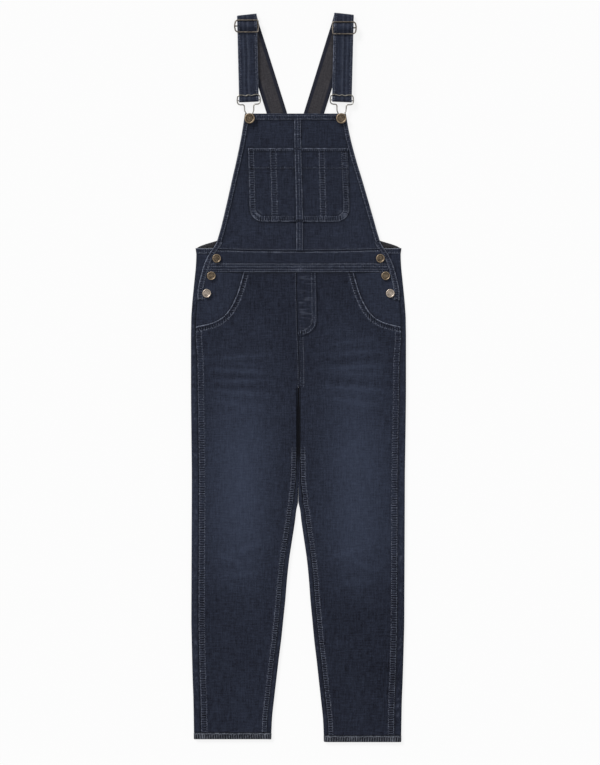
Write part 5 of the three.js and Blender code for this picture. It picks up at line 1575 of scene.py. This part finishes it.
# Clips: one bright wire for each, in three humps over the strap's end, out to shoulders and down round
# the bib button's shank, with a bar that the strap turns on.
CLIP_HALF = table(
    "x y z",
    (0, 45.8, 3.2), (5.5, 44.2, 3.2), (11, 45.6, 3.2), (17.4, 45.8, 3.2), (21.0, 43.4, 2.7), (22.2, 39, 0.8),
    (22.6, 34, 0), (20.8, 29.2, 0), (17, 27.4, 0), (11.6, 27.1, 0), (9.4, 25, 0), (9.0, 20, 0), (8.6, 15, 0),
    (6.6, 10.5, 0), (5.5, 5, 0), (5.2, 0, 0), (3.7, -3.7, 0), (0, -5.2, 0),
)
CLIP_TURN = {"left": 2.5, "right": 2.0}
for label, sign in SIDES:
    turn = math.radians(CLIP_TURN[label])

    def clip_place(x, y, z):
        return lie(sign * (BUTTON_X + x * math.cos(turn) + y * math.sin(turn)),
                   BUTTON_Y + y * math.cos(turn) - x * math.sin(turn), CLIP_LEVEL + z)

    half = [(row["x"], row["y"], row["z"]) for row in CLIP_HALF]
    loop = half + [(-x, y, z) for x, y, z in reversed(half[1:-1])]
    loop = finer(loop[-2:] + loop + loop[:2], 1.2)
    start = min(range(8, (len(loop) + 1) // 2), key=lambda i: math.dist(loop[i], half[0]))
    end = min(range(len(loop) // 2, len(loop)), key=lambda i: math.dist(loop[i], half[0]))
    bent = [clip_place(*at) for at in loop[start:end]]
    bar = [clip_place(x, CLIP_BAR, 0) for x in (-22.5, -11, 0, 11, 22.5)]
    wires(f"clip_wire_{label}", f"clip_{label}", [(bent, True), (bar, False)], CLIP_WIRE, clip_steel)


# Buttons: cast brass shank buttons with a rolled rim, a sunk ring and a low centre, gone brown in the
# hollows. The two on the bib are larger. The lowest at each side is rubbed brighter.
brass = metal("antique_brass", srgb(50, 43, 37), srgb(150, 133, 112), 0.36, 420)
rubbed_brass = metal("rubbed_brass", srgb(74, 66, 62), srgb(186, 173, 160), 0.32, 420)
HEAD = table(
    "reach rise polish",
    (0.0, 1.9, 0.3), (0.1, 1.95, 0.35), (0.2, 1.8, 0.1), (0.27, 1.55, 0.0), (0.34, 1.6, 0.1),
    (0.4, 1.8, 0.25), (0.46, 1.65, 0.1), (0.54, 1.5, 0.0), (0.66, 1.5, 0.0), (0.72, 1.75, 0.1),
    (0.77, 2.2, 0.4), (0.82, 2.45, 0.6), (0.87, 2.52, 0.7), (0.92, 2.4, 0.7), (0.965, 2.05, 0.5),
    (0.99, 1.6, 0.3), (1.0, 1.15, 0.1), (0.98, 0.7, 0.0), (0.93, 0.25, 0.0), (0.88, 0.0, 0.0),
)


SHANK, POLE_MERGE, STEPS_ROUND = 3.0, 0.00001, 36


def brass_button(name, node, x, y, base, radius, lift, shine=0.0, finish=brass):
    """A button that stands on a shank of the given lift, turned from its profile."""
    centre = lie(x, y, 0)
    foot = base + GAP
    under = foot + lift
    profile = [(row["reach"] * radius, under + row["rise"], row["polish"] + shine) for row in HEAD]
    profile += [(SHANK, under, 0.0), (SHANK, foot, 0.0), (0.0, foot, 0.0)]
    bm = bmesh.new()
    polish = bm.verts.layers.float.new("polish")
    line = []
    for reach, z, rubbed in profile:
        vert = bm.verts.new((centre.x + reach / 1000, centre.y, z / 1000))
        vert[polish] = rubbed
        line.append(vert)
    edges = [bm.edges.new(pair) for pair in zip(line, line[1:])]
    bmesh.ops.spin(bm, geom=line + edges, cent=(centre.x, centre.y, 0), axis=(0, 0, 1), dvec=(0, 0, 0),
                   angle=2 * math.pi, steps=STEPS_ROUND, use_merge=True)
    bmesh.ops.remove_doubles(bm, verts=bm.verts, dist=POLE_MERGE)
    bmesh.ops.recalc_face_normals(bm, faces=bm.faces)
    mesh = bpy.data.meshes.new(name)
    bm.to_mesh(mesh)
    bm.free()
    mesh.shade_smooth()
    mesh.materials.append(finish)
    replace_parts(add_piece(name, mesh), node)


BIB_BUTTON, SIDE_BUTTON = (10.2, 2.9), (8.5, 1.4)
SIDE_BUTTONS = table("x y base shine", (159.3, 232, 4.75, 0.0), (169.8, 198, FACING_LEVEL, 0.05),
                     (178.6, 163.8, FACING_LEVEL, 0.4))
for label, sign in SIDES:
    brass_button(f"brass_bib_{label}", f"bib_button_{label}", sign * BUTTON_X, BUTTON_Y,
                 on_upper(BUTTON_X, BUTTON_Y), *BIB_BUTTON)
    for number, row in enumerate(SIDE_BUTTONS, 1):
        finish = rubbed_brass if number == len(SIDE_BUTTONS) else brass
        brass_button(f"brass_side_{label}_{number}", f"side_button_{label}_{number}", sign * row["x"],
                     row["y"], row["base"], *SIDE_BUTTON, row["shine"], finish)
